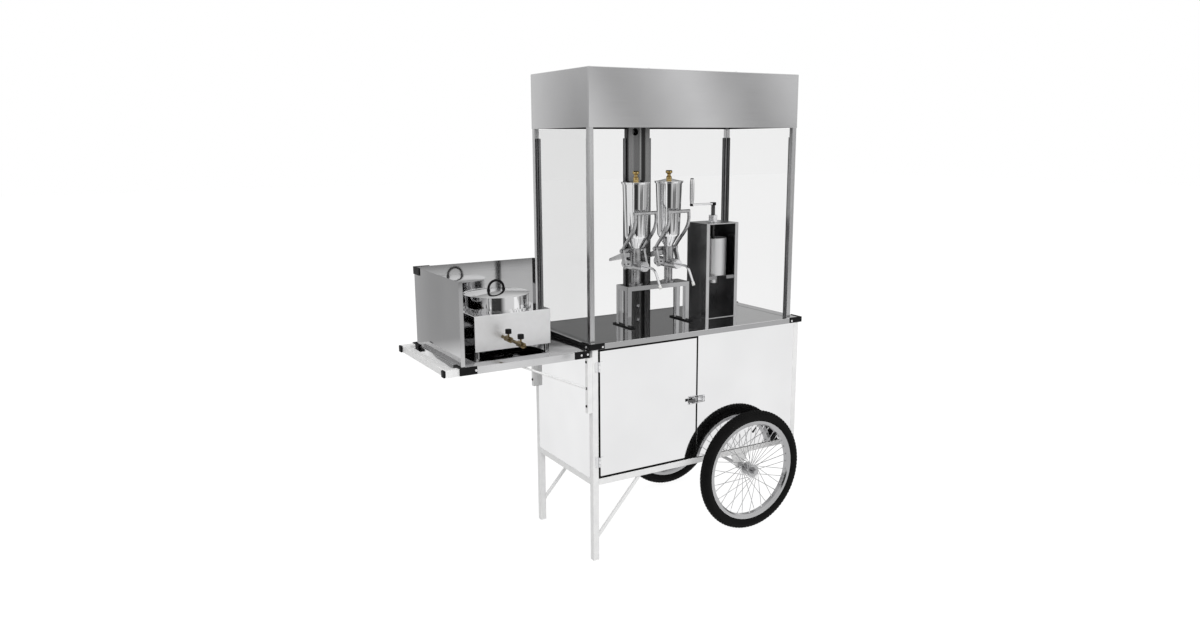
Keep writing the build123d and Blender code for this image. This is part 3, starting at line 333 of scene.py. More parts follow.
def paneFinish(name):  # clear glass, denser on its cut edges
    material, tree, shader = newFinish(name, {"Roughness": pane["roughness"], "IOR": 1.5,
                                              "Specular IOR Level": 0.5})
    haze = grainField(tree, pane["haze"], detail=2.0)
    tintField(tree, haze, pane["dark"], pane["light"], shader.inputs["Base Color"])
    normal = splitUp(tree, "NewGeometry", "True Normal")
    across = addNode(tree, "Math", {0: normal["Y"]}, "ABSOLUTE")
    edge = addNode(tree, "Math", {0: normal["Z"]}, "ABSOLUTE")
    film = addNode(tree, "MapRange", {"Value": across.outputs[0], "To Min": pane["side"],
                                      "To Max": pane["rear"]})
    cut = addNode(tree, "MapRange", {"Value": edge.outputs[0], "From Min": pane["cutFrom"],
                                     "From Max": pane["cutTo"], "To Min": film.outputs["Result"],
                                     "To Max": pane["cutEdge"]})
    tree.links.new(cut.outputs["Result"], shader.inputs["Alpha"])
    return material


# The column's four greys, laid in upright bands across X, are painted reflections and painted shade on its
# steel
column = dict(darkReflection=0.04, face=0.25, shade=0.17, brightReflection=0.42, lines=(420, 420, 2), brush=0.1,
              brushDepth=0.0004,
              bands=((0.06, "darkReflection"), (0.09, "face"), (0.27, "face"), (0.34, "shade"), (0.55, "shade"),
                     (0.585, "brightReflection"), (0.62, "shade"), (0.66, "darkReflection"), (0.78, "darkReflection"), (0.83, "face")))


def columnFinish(name, smoothest, roughest):  # folded sheet with upright bands of painted reflection and painted shade across X
    material, tree, shader = newFinish(name, {"Metallic": 1.0})
    low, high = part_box("centre_column")
    across = shareOf(tree, splitUp(tree, "TexCoord", "Object")["X"], low.x, high.x)
    ramp = addNode(tree, "ValToRGB", {"Fac": across})
    setStops(ramp.color_ramp, column["bands"], column)
    tree.links.new(ramp.outputs["Color"], shader.inputs["Base Color"])
    brushed = grainField(tree, column["lines"], detail=2.0, rough=sheetGrain["brushRough"])
    spanField(tree, brushed, smoothest, roughest, shader.inputs["Roughness"])
    raiseField(tree, shader, brushed, column["brush"], column["brushDepth"])
    return material


def coolGrey(level, blue=0.005):  # steel's grey, a touch blue
    return level, level, level + blue


polished = dict(dark=coolGrey(0.79), light=coolGrey(0.845), lines=(6, 6, 420))
satin = dict(dark=coolGrey(0.48), light=coolGrey(0.54))
finishes = {
    "painted_tube": castFinish("whitePowderCoat", coolGrey(0.81, 0), coolGrey(0.87, -0.005), 0.0, 0.34, 0.46,
                               700, 0.0002),
    "polished_sheet": steelFinish("mirrorSheet", smoothest=0.03, roughest=0.075, wave=0.012, **polished),
    "satin_sheet": steelFinish("brushedSheet", smoothest=0.12, roughest=0.16, lines=(5, 5, 620), wave=0.02,
                               **satin),
    "black_plastic": castFinish("blackMoulding", coolGrey(0.006, 0.0005), coolGrey(0.012, 0.0005), 0.0, 0.38,
                                0.55, 900, 0.0003, 0.08),
    "tyre_rubber": castFinish("tyreRubber", coolGrey(0.003, 0), coolGrey(0.007, -0.0002), 0.0, 0.6, 0.8, 600,
                              0.0006, 0.09),
    "silver_alloy": steelFinish("rimAlloy", coolGrey(0.82, 0.01), coolGrey(0.90, 0.01), 0.14, 0.24,
                                (90, 90, 90), 0.01),
    "cast_aluminium": castFinish("castAlloy", coolGrey(0.34), coolGrey(0.56), 1.0, 0.2, 0.36, 420, 0.0007),
    "bright_steel": steelFinish("platedSteel", coolGrey(0.66, 0.01), coolGrey(0.76, 0.01), 0.06, 0.14,
                                (60, 60, 60), 0.005),
    "yellow_brass": steelFinish("valveBrass", (0.46, 0.33, 0.13), (0.66, 0.49, 0.22), 0.12, 0.24,
                                (70, 70, 70), 0.01),
    "black_iron": castFinish("blackenedIron", (0.018, 0.017, 0.016), (0.05, 0.046, 0.042), 0.6, 0.5, 0.75,
                             300, 0.0012),
    "clear_pane": paneFinish("clearPane"),
}
whiteTip = castFinish("whiteNylon", coolGrey(0.74, -0.02), coolGrey(0.82, -0.02), 0.0, 0.35, 0.5, 500, 0.0002)
satinUpright = steelFinish("brushedUpright", smoothest=0.2, roughest=0.32, lines=(520, 520, 4), wave=0.02,
                           **satin)
dullBrass = steelFinish("dullBrass", (0.10, 0.075, 0.035), (0.22, 0.165, 0.08), 0.2, 0.36,
                        (70, 70, 70), 0.01)
darkThread = steelFinish("oiledThread", coolGrey(0.10, 0), coolGrey(0.17, 0), 0.25, 0.4, (90, 90, 90), 0.01)
greyMirror = steelFinish("greyMirror", coolGrey(0.45), coolGrey(0.52), 0.04, 0.09, (6, 6, 420), 0.12)
# a lighter copy of the windbreak's steel, for its back wall: painted reflection
wallMirror = steelFinish("wallMirror", coolGrey(0.60), coolGrey(0.68), 0.05, 0.1, (6, 6, 420), 0.12)
lidMirror = crownFinish("lidMirror", coolGrey(0.74), coolGrey(0.82), 0.04, 0.08, 0.8, 0.002)
# a darker copy of the sheet steel, for the counter's front lip and the dispenser stand: painted shade
paintedShadeMirror = steelFinish("paintedShadeMirror", coolGrey(0.36), coolGrey(0.42), 0.06, 0.12, (6, 420, 6), 0.05)
# a lighter copy of the press housing's steel, for its front faces: painted light
flangeSteel = steelFinish("flangeSheet", coolGrey(0.54), coolGrey(0.62), 0.24, 0.36, (520, 520, 4), 0.02)
# near-black steel for the canopy's inside: painted shade
paintedShadeInside = steelFinish("shadedSheet", coolGrey(0.03, 0), coolGrey(0.05, 0), 0.3, 0.4, (5, 5, 620), 0.02)
shelfMirror = crownFinish("shelfMirror", coolGrey(0.54), coolGrey(0.62), 0.08, 0.13, 0.5, 0.006)
wheelSteel = steelFinish("wheelSteel", coolGrey(0.34), coolGrey(0.46), 0.1, 0.2, (60, 60, 60), 0.005)
darkHousing = steelFinish("darkBrushedSheet", coolGrey(0.25), coolGrey(0.35), 0.2, 0.25, (260, 260, 6), 0.05)
darkChannel = steelFinish("darkUpright", coolGrey(0.14), coolGrey(0.22), 0.18, 0.3, (520, 520, 4), 0.02)
fryerFront = castFinish("fryerFront", coolGrey(0.77), coolGrey(0.81), 0.75, 0.42, 0.5, 900, 0.0001)
cylinderSheet = steelFinish("cylinderSheet", coolGrey(0.72), coolGrey(0.80), 0.34, 0.42, (90, 90, 4), 0.02)
# pale paint for the fryer's underside, to lift the shade in the gap under it: painted light
paintedLightUnderside = castFinish("paintedLightUnderside", coolGrey(0.74, -0.005), coolGrey(0.80, -0.005), 0.0, 0.5, 0.6, 500,
                       0.0002)
columnSteel = columnFinish("columnPaintedReflections", 0.2, 0.32)
# the dispenser stand below takes the darker copy of the sheet steel: painted shade
specialFinish = dict(
    press_housing=darkHousing, centre_column=columnSteel, windbreak=greyMirror, pot_lid=lidMirror,
    shelf_tray=shelfMirror, gas_manifold=dullBrass, press_screw=darkThread,
    press_nut=finishes["silver_alloy"], canopy_posts=satinUpright, glass_channels=darkChannel,
    dispenser_stand=paintedShadeMirror, axle=wheelSteel, front_spoked_hub=wheelSteel, back_spoked_hub=wheelSteel,
    latch_bail=wheelSteel, latch_lever=darkThread, dough_cylinder=cylinderSheet)


def finishFor(nodeName):
    return specialFinish.get(nodeName, finishes[slotOf[nodeName]])


for nodeName, nodeObject in cadNodes.items():
    nodeObject.data.materials.clear()
    nodeObject.data.materials.append(finishFor(nodeName))
print("finishes given to", len(cadNodes), "nodes")


# Tubes, trays and sheets: the CAD shape with rounded folds and broken edges

def replaceNode(nodeName, piece):
    dressPiece(piece, bodyOf[nodeName], finishFor(nodeName))
    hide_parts(nodeName)
    return piece


def isTopOrUpright(edge, top):
    low, high = sorted((edge.verts[0].co.z, edge.verts[1].co.z))
    along = (edge.verts[1].co - edge.verts[0].co).normalized()
    return low > top - hair or abs(along.z) > square


tubes = dict(radius=0.0022, shortest=0.05, segments=3,
             nodes=("frame_uprights", "frame_rails", "leg_braces", "push_handle", "shelf_uprights",
                    "canopy_posts"))
for nodeName in tubes["nodes"]:
    piece = copyNode(nodeName)
    roundEdges(piece, tubes["radius"], tubes["segments"],
               lambda edge: isOuterEdge(edge) and edge.calc_length() > tubes["shortest"])
    replaceNode(nodeName, piece)

trays = dict(radius=0.0022, shortest=0.018, segments=3,
             nodes=("counter_top", "shelf_tray", "canopy", "fryer_box", "dispenser_stand"))
for nodeName in trays["nodes"]:
    piece = copyNode(nodeName)
    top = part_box(nodeName)[1].z
    roundEdges(piece, trays["radius"], trays["segments"],
               lambda edge: (isOuterEdge(edge) and edge.calc_length() > trays["shortest"]
                             and isTopOrUpright(edge, top)))
    replaceNode(nodeName, piece)

brokenEdges = dict(
    left_panel=0.0004, right_panel=0.0004, back_panel=0.0004, front_panel=0.0004, windbreak=0.0004,
    door=0.0004, corner_caps=0.0007, handle_end_caps=0.003, centre_column=0.0005, glass_channels=0.0003,
    press_housing=0.0005, door_hinges=0.0003, latch_base=0.0004, latch_lever=0.0004, latch_strike=0.0004,
    axle=0.0006, axle_hangers=0.0006, press_nut=0.0006, press_crank=0.0008, gas_manifold=0.0005,
    left_plunger=0.0004, right_plunger=0.0004,
)
for nodeName, width in brokenEdges.items():
    piece = copyNode(nodeName)
    roundEdges(piece, width, 2, isOuterEdge)
    replaceNode(nodeName, piece)
print("folds and edges rounded")


# Wheels: tyres with tread blocks, spoke nipples and tube valves

def middle(nodeName):
    low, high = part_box(nodeName)
    return (low + high) / 2


def turnAbout(centre, degrees, axis):
    return Matrix.Translation(centre) @ Matrix.Rotation(math.radians(degrees), 4, axis)


tyre = dict(blockHeight=0.0015, blockSize=(0.0095, 0.0072), blockTop=0.78, blockEdge=0.0005,
            rows=(-48, -24, 0, 24, 48), perRow=96, bead=150, ribs=(72, 80), ribHeight=0.0007, wall=0.003,
            outerStep=8, innerStep=15, steps=96)
wheelAxis = dict(front=middle("front_tyre"), back=middle("back_tyre"))
tyreLow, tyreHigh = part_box("front_tyre")
sectionRadius = (tyreHigh.y - tyreLow.y) / 2
ringRadius = (tyreHigh.z - tyreLow.z) / 2 - sectionRadius
casingRadius = sectionRadius - tyre["blockHeight"]


def casingPoint(angle, radius):
    return ringRadius + radius * math.cos(math.radians(angle)), radius * math.sin(math.radians(angle))


def casingProfile():
    profile = []
    for angle in range(-tyre["bead"], tyre["bead"] + 1, tyre["outerStep"]):
        rib = tyre["ribHeight"] if tyre["ribs"][0] <= abs(angle) <= tyre["ribs"][1] else 0
        profile.append(casingPoint(angle, casingRadius + rib))
    for angle in range(tyre["bead"], -tyre["bead"] - 1, -tyre["innerStep"]):
        profile.append(casingPoint(angle, casingRadius - tyre["wall"]))
    return profile + profile[:1]


def treadBlock():  # one block standing on +Z, narrower and rounded at the top
    clearSelection()
    bpy.ops.mesh.primitive_cube_add(size=1)
    block = bpy.context.object
    long, wide = tyre["blockSize"]
    high = tyre["blockHeight"]
    bpy.ops.object.mode_set(mode="EDIT")
    bpy.ops.mesh.select_all(action="SELECT")
    bpy.ops.transform.resize(value=(long, wide, high * 2))
    pickFaces(block, lambda centre, normal: normal.z > square)
    bpy.ops.transform.resize(value=(tyre["blockTop"], tyre["blockTop"], 1))
    bpy.ops.mesh.bevel(offset=tyre["blockEdge"], segments=1, affect="EDGES")
    bpy.ops.object.mode_set(mode="OBJECT")
    return block


master = treadBlock()
casing = turnProfile("tyreCasing", casingProfile(), wheelAxis["front"], "Y", tyre["steps"])
for side in ("front", "back"):
    shift = Matrix.Translation(wheelAxis[side] - wheelAxis["front"])
    parts = [copyTo(casing, side + "_tyre_tread", shift)]
    for row, lean in enumerate(tyre["rows"]):
        onRing = Matrix.Translation((0, 0, ringRadius)) @ Matrix.Rotation(math.radians(lean), 4, "X")
        onRing = onRing @ Matrix.Translation((0, 0, casingRadius))
        for index in range(tyre["perRow"]):
            around = (index + 0.5 * (row % 2)) * 360 / tyre["perRow"]
            parts.append(copyTo(master, "block", turnAbout(wheelAxis[side], around, "Y") @ onRing))
    replaceNode(side + "_tyre", joinPieces(side + "_tyre_tread", parts))
dropPiece(master)
dropPiece(casing)

spokes = dict(count=36, sweep=62, rootRadius=0.0234, spread=0.020, tipSpread=0.0026, nippleSteps=8,
              nippleShape=((0.0, 0.0), (0.0026, 0.0), (0.0026, 0.0035), (0.0019, 0.005), (0.0019, 0.013),
                           (0.0, 0.013)))
tubeValve = dict(angle=45, steps=16, shape=((0.0, 0.0), (0.0032, 0.0), (0.0032, 0.026), (0.0042, 0.027),
                                            (0.0042, 0.036), (0.003, 0.038), (0.0, 0.038)))
lacingLow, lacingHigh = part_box("front_spoked_hub")
rimInner = (lacingHigh.z - lacingLow.z) / 2
nipple = turnProfile("nipple", spokes["nippleShape"], (0, 0, 0), "Z", spokes["nippleSteps"])
valve = turnProfile("valve", tubeValve["shape"], (0, 0, 0), "Z", tubeValve["steps"])
stemAngle = math.radians(tubeValve["angle"])
for side in ("front", "back"):
    parts = []
    for index in range(spokes["count"]):
        lean = 1 if index % 2 else -1
        tipAngle = math.radians(index * 360 / spokes["count"])
        rootAngle = tipAngle + lean * math.radians(spokes["sweep"])
        tip = Vector((rimInner * math.cos(tipAngle), -lean * spokes["tipSpread"],
                      rimInner * math.sin(tipAngle)))
        root = Vector((spokes["rootRadius"] * math.cos(rootAngle), -lean * spokes["spread"],
                       spokes["rootRadius"] * math.sin(rootAngle)))
        place = Matrix.Translation(wheelAxis[side] + tip) @ facing(root - tip)
        parts.append(copyTo(nipple, "nipple", place))
    nipples = joinPieces(side + "_nipples", parts)
    dressPiece(nipples, side + "_wheel", finishes["silver_alloy"])
    outward = Vector((math.cos(stemAngle), 0, math.sin(stemAngle)))
    place = Matrix.Translation(wheelAxis[side] + outward * rimInner) @ facing(-outward)
    stem = copyTo(valve, side + "_valve_stem", place)
    dressPiece(stem, side + "_wheel", finishes["black_plastic"])
dropPiece(nipple)
dropPiece(valve)
print("tyres, nipples and valves made")


# Painted faces: brass knobs, white tips, black foot bars and crank ends, and sheets of other greys, with
# painted shade, painted reflection and painted light on lips and sheets

onFace = dict(facing=0.9, reach=0.001)  # how square and how near a face has to be


def paintFaces(piece, finish, wanted):
    if finish.name not in piece.data.materials:
        piece.data.materials.append(finish)
    pickFaces(piece, wanted)
    piece.active_material_index = piece.data.materials.find(finish.name)
    bpy.ops.object.material_slot_assign()
    bpy.ops.object.mode_set(mode="OBJECT")


def shapedPiece(nodeName):
    return bpy.data.objects[nodeName + "_shaped"]


def isFront(centre, normal, y):  # square to the front, on the plane at y
    return normal.y < -onFace["facing"] and centre.y < y + onFace["reach"]


hopperLid = dict(knobHeight=0.0342, edge=0.0006)
for side in ("left", "right"):
    nodeName = side + "_hopper_lid"
    piece = copyNode(nodeName)
    roundEdges(piece, hopperLid["edge"], 2, isOuterEdge)
    replaceNode(nodeName, piece)
    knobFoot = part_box(nodeName)[1].z - hopperLid["knobHeight"]
    paintFaces(piece, finishes["yellow_brass"], lambda centre, normal: centre.z > knobFoot)

nozzleTip = dict(height=0.0135)
piece = replaceNode("filling_nozzles", copyNode("filling_nozzles"))
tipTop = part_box("filling_nozzles")[0].z + nozzleTip["height"]
paintFaces(piece, whiteTip, lambda centre, normal: centre.z < tipTop)

footBar = dict(height=0.0051)
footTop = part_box("dispenser_stand")[0].z + footBar["height"]
paintFaces(shapedPiece("dispenser_stand"), finishes["black_plastic"],
           lambda centre, normal: centre.z < footTop)

fryerFoot = dict(height=0.0255)
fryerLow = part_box("fryer_box")[0]
bodyFoot = fryerLow.z + fryerFoot["height"] - hair
piece = shapedPiece("fryer_box")
paintFaces(piece, fryerFront, lambda centre, normal: isFront(centre, normal, fryerLow.y))
paintFaces(piece, wheelSteel, lambda centre, normal: centre.z < bodyFoot)
# painted light: the box's underside is painted pale to lift the shade under it
paintFaces(piece, paintedLightUnderside, lambda centre, normal: (
    normal.z < -onFace["facing"] and abs(centre.z - bodyFoot) < onFace["reach"]))

crank = dict(hubReach=0.0128, pinReach=0.0082)
pressAxis = middle("press_screw")
gripAxis = middle("crank_grip")


def isCrankEnd(centre, normal):
    fromHub = math.hypot(centre.x - pressAxis.x, centre.y - pressAxis.y)
    fromPin = math.hypot(centre.x - gripAxis.x, centre.y - gripAxis.y)
    return fromHub < crank["hubReach"] or (fromPin < crank["pinReach"] and abs(normal.z) < square)


paintFaces(shapedPiece("press_crank"), finishes["black_plastic"], isCrankEnd)
counterLow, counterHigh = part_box("counter_top")
# painted shade: the counter's left lip face is painted black, standing in for the dark it reflects
paintFaces(shapedPiece("counter_top"), finishes["black_plastic"], lambda centre, normal: (
    normal.x < -onFace["facing"] and centre.x < counterLow.x + onFace["reach"]))
shelf = dict(endFold=0.0024)
shelfLow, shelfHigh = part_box("shelf_tray")
# painted shade: the shelf tray's right end, beside the counter, is painted black
paintFaces(shapedPiece("shelf_tray"), finishes["black_plastic"],
           lambda centre, normal: centre.x > shelfHigh.x - shelf["endFold"])
# painted shade: the counter's front lip takes a darker copy of the sheet steel
paintFaces(shapedPiece("counter_top"), paintedShadeMirror,
           lambda centre, normal: isFront(centre, normal, counterLow.y))
pressLow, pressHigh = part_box("press_housing")
# painted light: the housing's front faces take a lighter copy of its steel
paintFaces(shapedPiece("press_housing"), flangeSteel,
           lambda centre, normal: isFront(centre, normal, pressLow.y))
windbreak = dict(backReach=0.004)
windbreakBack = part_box("windbreak")[1].y - windbreak["backReach"]
# painted reflection: the windbreak's back wall, facing front, takes a lighter copy of its steel
paintFaces(shapedPiece("windbreak"), wallMirror, lambda centre, normal: (
    normal.y < -onFace["facing"] and centre.y > windbreakBack))
canopyLow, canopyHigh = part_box("canopy")
canopyMiddle = (canopyLow + canopyHigh) / 2
canopyInside = dict(downward=0.5, inward=0.01)
# painted shade: the canopy's underside and inward faces are near black
paintFaces(shapedPiece("canopy"), paintedShadeInside, lambda centre, normal: (
    normal.z < -canopyInside["downward"]
    or (canopyMiddle - centre).to_2d().dot(normal.to_2d()) > canopyInside["inward"]))
print("faces painted")


# Seal in the gap round the door, black beads on the door's edge and along the panel's foot

def frontRing(name, left, right, foot, top, y, width, depth):  # a flat frame facing the front
    clearSelection()
    bpy.ops.mesh.primitive_plane_add(size=1)
    ring = bpy.context.object
    ring.name = name
    bpy.ops.object.mode_set(mode="EDIT")
    bpy.ops.mesh.select_all(action="SELECT")
    bpy.ops.transform.rotate(value=math.radians(90), orient_axis="X", center_override=(0, 0, 0))
    bpy.ops.transform.resize(value=(right - left, 1, top - foot))
    bpy.ops.transform.translate(value=((left + right) / 2, y, (foot + top) / 2))
    bpy.ops.mesh.inset(thickness=width)
    bpy.ops.mesh.delete(type="FACE")
    bpy.ops.mesh.select_all(action="SELECT")
    bpy.ops.mesh.extrude_region_move(TRANSFORM_OT_translate={"value": (0, depth, 0)})
    bpy.ops.object.mode_set(mode="OBJECT")
    closeMesh(ring)
    return ring


seal = dict(width=0.0047, recess=0.0004, depth=0.007, edge=0.0006, knuckle=0.004)
panelLow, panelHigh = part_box("front_panel")
doorLow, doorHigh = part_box("door")
sealGap = panelLow.x - doorHigh.x
doorLeft = doorLow.x + seal["knuckle"] + sealGap / 2  # the hinge knuckles reach over the gap
piece = frontRing("door_seal", doorLeft - sealGap, panelLow.x, panelLow.z, panelHigh.z,
                  panelLow.y + seal["recess"], seal["width"], seal["depth"])
roundEdges(piece, seal["edge"], 1, isOuterEdge)
dressPiece(piece, "cart", finishes["tyre_rubber"])

doorBead = dict(width=0.0024, rise=0.0005, depth=0.0004)
piece = frontRing("door_bead", doorLeft, doorHigh.x, doorLow.z, doorHigh.z, panelLow.y - doorBead["rise"],
                  doorBead["width"], doorBead["rise"] + doorBead["depth"])
dressPiece(piece, "door", finishes["tyre_rubber"])

bead = dict(height=0.0032, rise=0.0006, depth=0.001, edge=0.0005)
clearSelection()
bpy.ops.mesh.primitive_cube_add(size=1)
piece = bpy.context.object
piece.name = "panel_bead"
bpy.ops.object.mode_set(mode="EDIT")
bpy.ops.mesh.select_all(action="SELECT")
bpy.ops.transform.resize(value=(panelHigh.x - panelLow.x, bead["rise"] + bead["depth"], bead["height"]))
beadY = panelLow.y + (bead["depth"] - bead["rise"]) / 2
bpy.ops.transform.translate(value=((panelLow.x + panelHigh.x) / 2, beadY, panelLow.z))
bpy.ops.object.mode_set(mode="OBJECT")
roundEdges(piece, bead["edge"], 2, lambda edge: max(vertex.co.y for vertex in edge.verts) < panelLow.y)
dressPiece(piece, "cart", finishes["tyre_rubber"])
print("door seal and beads made")


# Rivets and screw heads

def rivetHead(radius, height):  # a low dome on the XY plane
    clearSelection()
    bpy.ops.mesh.primitive_uv_sphere_add(segments=16, ring_count=10, radius=radius)
    head = bpy.context.object
    bpy.ops.object.mode_set(mode="EDIT")
    bpy.ops.mesh.select_all(action="SELECT")
    bpy.ops.mesh.bisect(plane_co=(0, 0, 0), plane_no=(0, 0, 1), use_fill=True, clear_inner=True)
    bpy.ops.mesh.select_all(action="SELECT")
    bpy.ops.transform.resize(value=(1, 1, height / radius))
    bpy.ops.object.mode_set(mode="OBJECT")
    shape = [vertex.co.z for vertex in head.data.vertices]
    head.data.transform(Matrix.Translation((0, 0, -min(shape))))
    return head


socketHead = dict(round=0.3, rim=0.22, socket=0.45)  # shares of the head's radius and height


def screwHead(radius, height):  # a rounded head with a socket, on the XY plane
    clearSelection()
    bpy.ops.mesh.primitive_cylinder_add(vertices=24, radius=radius, depth=height)
    head = bpy.context.object
    head.data.transform(Matrix.Translation((0, 0, height / 2)))
    roundEdges(head, radius * socketHead["round"], 3,
               lambda edge: min(vertex.co.z for vertex in edge.verts) > height * square)
    pickFaces(head, lambda centre, normal: normal.z > square)
    bpy.ops.mesh.inset(thickness=radius * socketHead["rim"])
    bpy.ops.mesh.extrude_region_move(TRANSFORM_OT_translate={"value": (0, 0, -height * socketHead["socket"])})
    bpy.ops.object.mode_set(mode="OBJECT")
    return head


def setHeads(name, head, sizes, places, finish, body="cart"):
    master = head(sizes["radius"], sizes["height"])
    parts = [copyTo(master, name, Matrix.Translation(place) @ facing(normal)) for place, normal in places]
    dressPiece(joinPieces(name, parts), body, finish)
    dropPiece(master)


capLow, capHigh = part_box("corner_caps")
rivet = dict(radius=0.0043, height=0.0022, drop=0.0118, longArm=0.0515, shortArm=0.0263, plate=0.003,
             shelfRight=(0.008, 0.034), shelfLeft=0.0555)
rivetPlaces = []
rivetZ = counterHigh.z - rivet["drop"]
for ySide, faceY in ((-1, capLow.y), (1, capHigh.y)):
    for x in (counterLow.x + rivet["longArm"], counterHigh.x - rivet["longArm"]):
        rivetPlaces.append(((x, faceY, rivetZ), (0, ySide, 0)))
    cornerY = counterLow.y if ySide < 0 else counterHigh.y
    for xSide, faceX in ((-1, counterLow.x - rivet["plate"]), (1, capHigh.x)):
        rivetPlaces.append(((faceX, cornerY - ySide * rivet["shortArm"], rivetZ), (xSide, 0, 0)))
for x in [shelfHigh.x - reach for reach in rivet["shelfRight"]] + [shelfLow.x + rivet["shelfLeft"]]:
    for ySide, cornerY in ((-1, shelfLow.y), (1, shelfHigh.y)):
        faceY = cornerY + ySide * rivet["plate"]
        rivetPlaces.append(((x, faceY, shelfHigh.z - rivet["drop"]), (0, ySide, 0)))
setHeads("cap_rivets", rivetHead, rivet, rivetPlaces, finishes["silver_alloy"])

uprightScrew = dict(radius=0.005, height=0.003, heights=(0.783, 0.683, 0.615), inset=0.010)
uprightLow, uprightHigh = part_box("shelf_uprights")
uprightPlaces = [((uprightLow.x, y, z), (-1, 0, 0)) for z in uprightScrew["heights"]
                 for y in (uprightLow.y + uprightScrew["inset"], uprightHigh.y - uprightScrew["inset"])]
setHeads("upright_screws", screwHead, uprightScrew, uprightPlaces, finishes["black_plastic"])

canopyScrew = dict(radius=0.005, height=0.003, reach=(0.259, 0.660), inset=0.012)
canopyPlaces = [((canopyLow.x + x, y, canopyHigh.z), (0, 0, 1)) for x in canopyScrew["reach"]
                for y in (canopyLow.y + canopyScrew["inset"], canopyHigh.y - canopyScrew["inset"])]
setHeads("canopy_screws", screwHead, canopyScrew, canopyPlaces, finishes["silver_alloy"])

pressScrew = dict(radius=0.0038, height=0.002, along=(0.120, 0.037), topDrop=0.016, footRise=0.012)
pressPlaces = [((x, pressLow.y + y, z), (xSide, 0, 0)) for xSide, x in ((-1, pressLow.x), (1, pressHigh.x))
               for y in pressScrew["along"]
               for z in (pressHigh.z - pressScrew["topDrop"], pressLow.z + pressScrew["footRise"])]
setHeads("press_screws", screwHead, pressScrew, pressPlaces, darkHousing)

columnBolt = dict(radius=0.006, height=0.004, rise=0.030)
columnLow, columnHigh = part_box("centre_column")
boltPlace = ((columnLow.x + columnHigh.x) / 2, columnLow.y, columnLow.z + columnBolt["rise"])
setHeads("column_bolt", screwHead, columnBolt, [(boltPlace, (0, -1, 0))], finishes["silver_alloy"])

latchScrew = dict(radius=0.0028, height=0.0014, inset=0.0048, plate=0.002)
latchLow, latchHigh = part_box("latch_base")
latchPlaces = [((x, panelLow.y - latchScrew["plate"], z), (0, -1, 0))
               for x in (latchLow.x + latchScrew["inset"], latchHigh.x - latchScrew["inset"])
               for z in (latchLow.z + latchScrew["inset"], latchHigh.z - latchScrew["inset"])]
setHeads("latch_screws", screwHead, latchScrew, latchPlaces, darkThread, bodyOf["latch_base"])
print("rivets and screws set")


# Press screw with its two-start thread

thread = dict(root=0.0074, crest=0.0085, lead=0.008, steps=20, lift=0.0005, coreGap=0.0002,
              start=(("root", 0.0), ("root", 1.0), ("crest", 1.6), ("crest", 3.4)))  # in eighths of the lead
screwLow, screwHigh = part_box("press_screw")
screwLength = screwHigh.z - screwLow.z
turns = int(screwLength / thread["lead"])
flank = thread["lead"] / 8
threadShape = [(thread[level], (first + height) * flank) for first in (0, 4)
               for level, height in thread["start"]]
threadShape.append((thread["root"], thread["lead"]))
clearSelection()
bpy.ops.mesh.primitive_plane_add(size=0.001)
piece = bpy.context.object
piece.name = "press_thread"
drawPoints([Vector((radius, 0, height)) for radius, height in threadShape])
coil = piece.modifiers.new("coil", "SCREW")
coil.axis = "Z"
coil.angle = 2 * math.pi
coil.screw_offset = thread["lead"]
coil.iterations = turns - 1
coil.steps = thread["steps"]
coil.render_steps = thread["steps"]
coil.use_merge_vertices = True
bpy.ops.object.modifier_apply(modifier=coil.name)
piece.data.transform(Matrix.Translation((pressAxis.x, pressAxis.y, screwLow.z + thread["lift"])))
coreRadius = thread["root"] - thread["coreGap"]
core = turnProfile("threadCore", ((0, 0), (coreRadius, 0), (coreRadius, screwLength), (0, screwLength)),
                   (pressAxis.x, pressAxis.y, screwLow.z), "Z", thread["steps"])
closeMesh(piece)
replaceNode("press_screw", joinPieces("press_thread", [piece, core]))
print("thread cut, turns", turns)


# Gas knobs with finger lobes, nuts on the valves and a barbed nipple

knob = dict(points=40, lobes=8, waist=0.90, edge=0.0012, rim=0.002, dish=0.0008)


def isLobeWaist(edge):
    along = (edge.verts[1].co - edge.verts[0].co).normalized()
    middlePoint = (edge.verts[0].co + edge.verts[1].co) / 2
    turn = math.atan2(middlePoint.y, middlePoint.x) / (2 * math.pi)
    step = round(turn * knob["points"]) % (knob["points"] // knob["lobes"])
    return abs(along.z) > square and step in (0, 1)


for side in ("front", "rear"):
    nodeName = side + "_gas_knob"
    low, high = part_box(nodeName)
    clearSelection()
    bpy.ops.mesh.primitive_cylinder_add(vertices=knob["points"], radius=(high.x - low.x) / 2,
                                        depth=high.z - low.z)
    piece = bpy.context.object
    piece.name = nodeName + "_lobed"
    pickEdges(piece, isLobeWaist)
    bpy.ops.transform.resize(value=(knob["waist"], knob["waist"], 1))
    bpy.ops.object.mode_set(mode="OBJECT")
    topEdge = (high.z - low.z) / 2 - hair
    roundEdges(piece, knob["edge"], 2, lambda edge: min(vertex.co.z for vertex in edge.verts) > topEdge)
    pickFaces(piece, lambda centre, normal: normal.z > square)
    bpy.ops.mesh.inset(thickness=knob["rim"])
    bpy.ops.mesh.extrude_region_move(TRANSFORM_OT_translate={"value": (0, 0, -knob["dish"])})
    bpy.ops.object.mode_set(mode="OBJECT")
    piece.data.transform(Matrix.Translation((low + high) / 2))
    replaceNode(nodeName, piece)

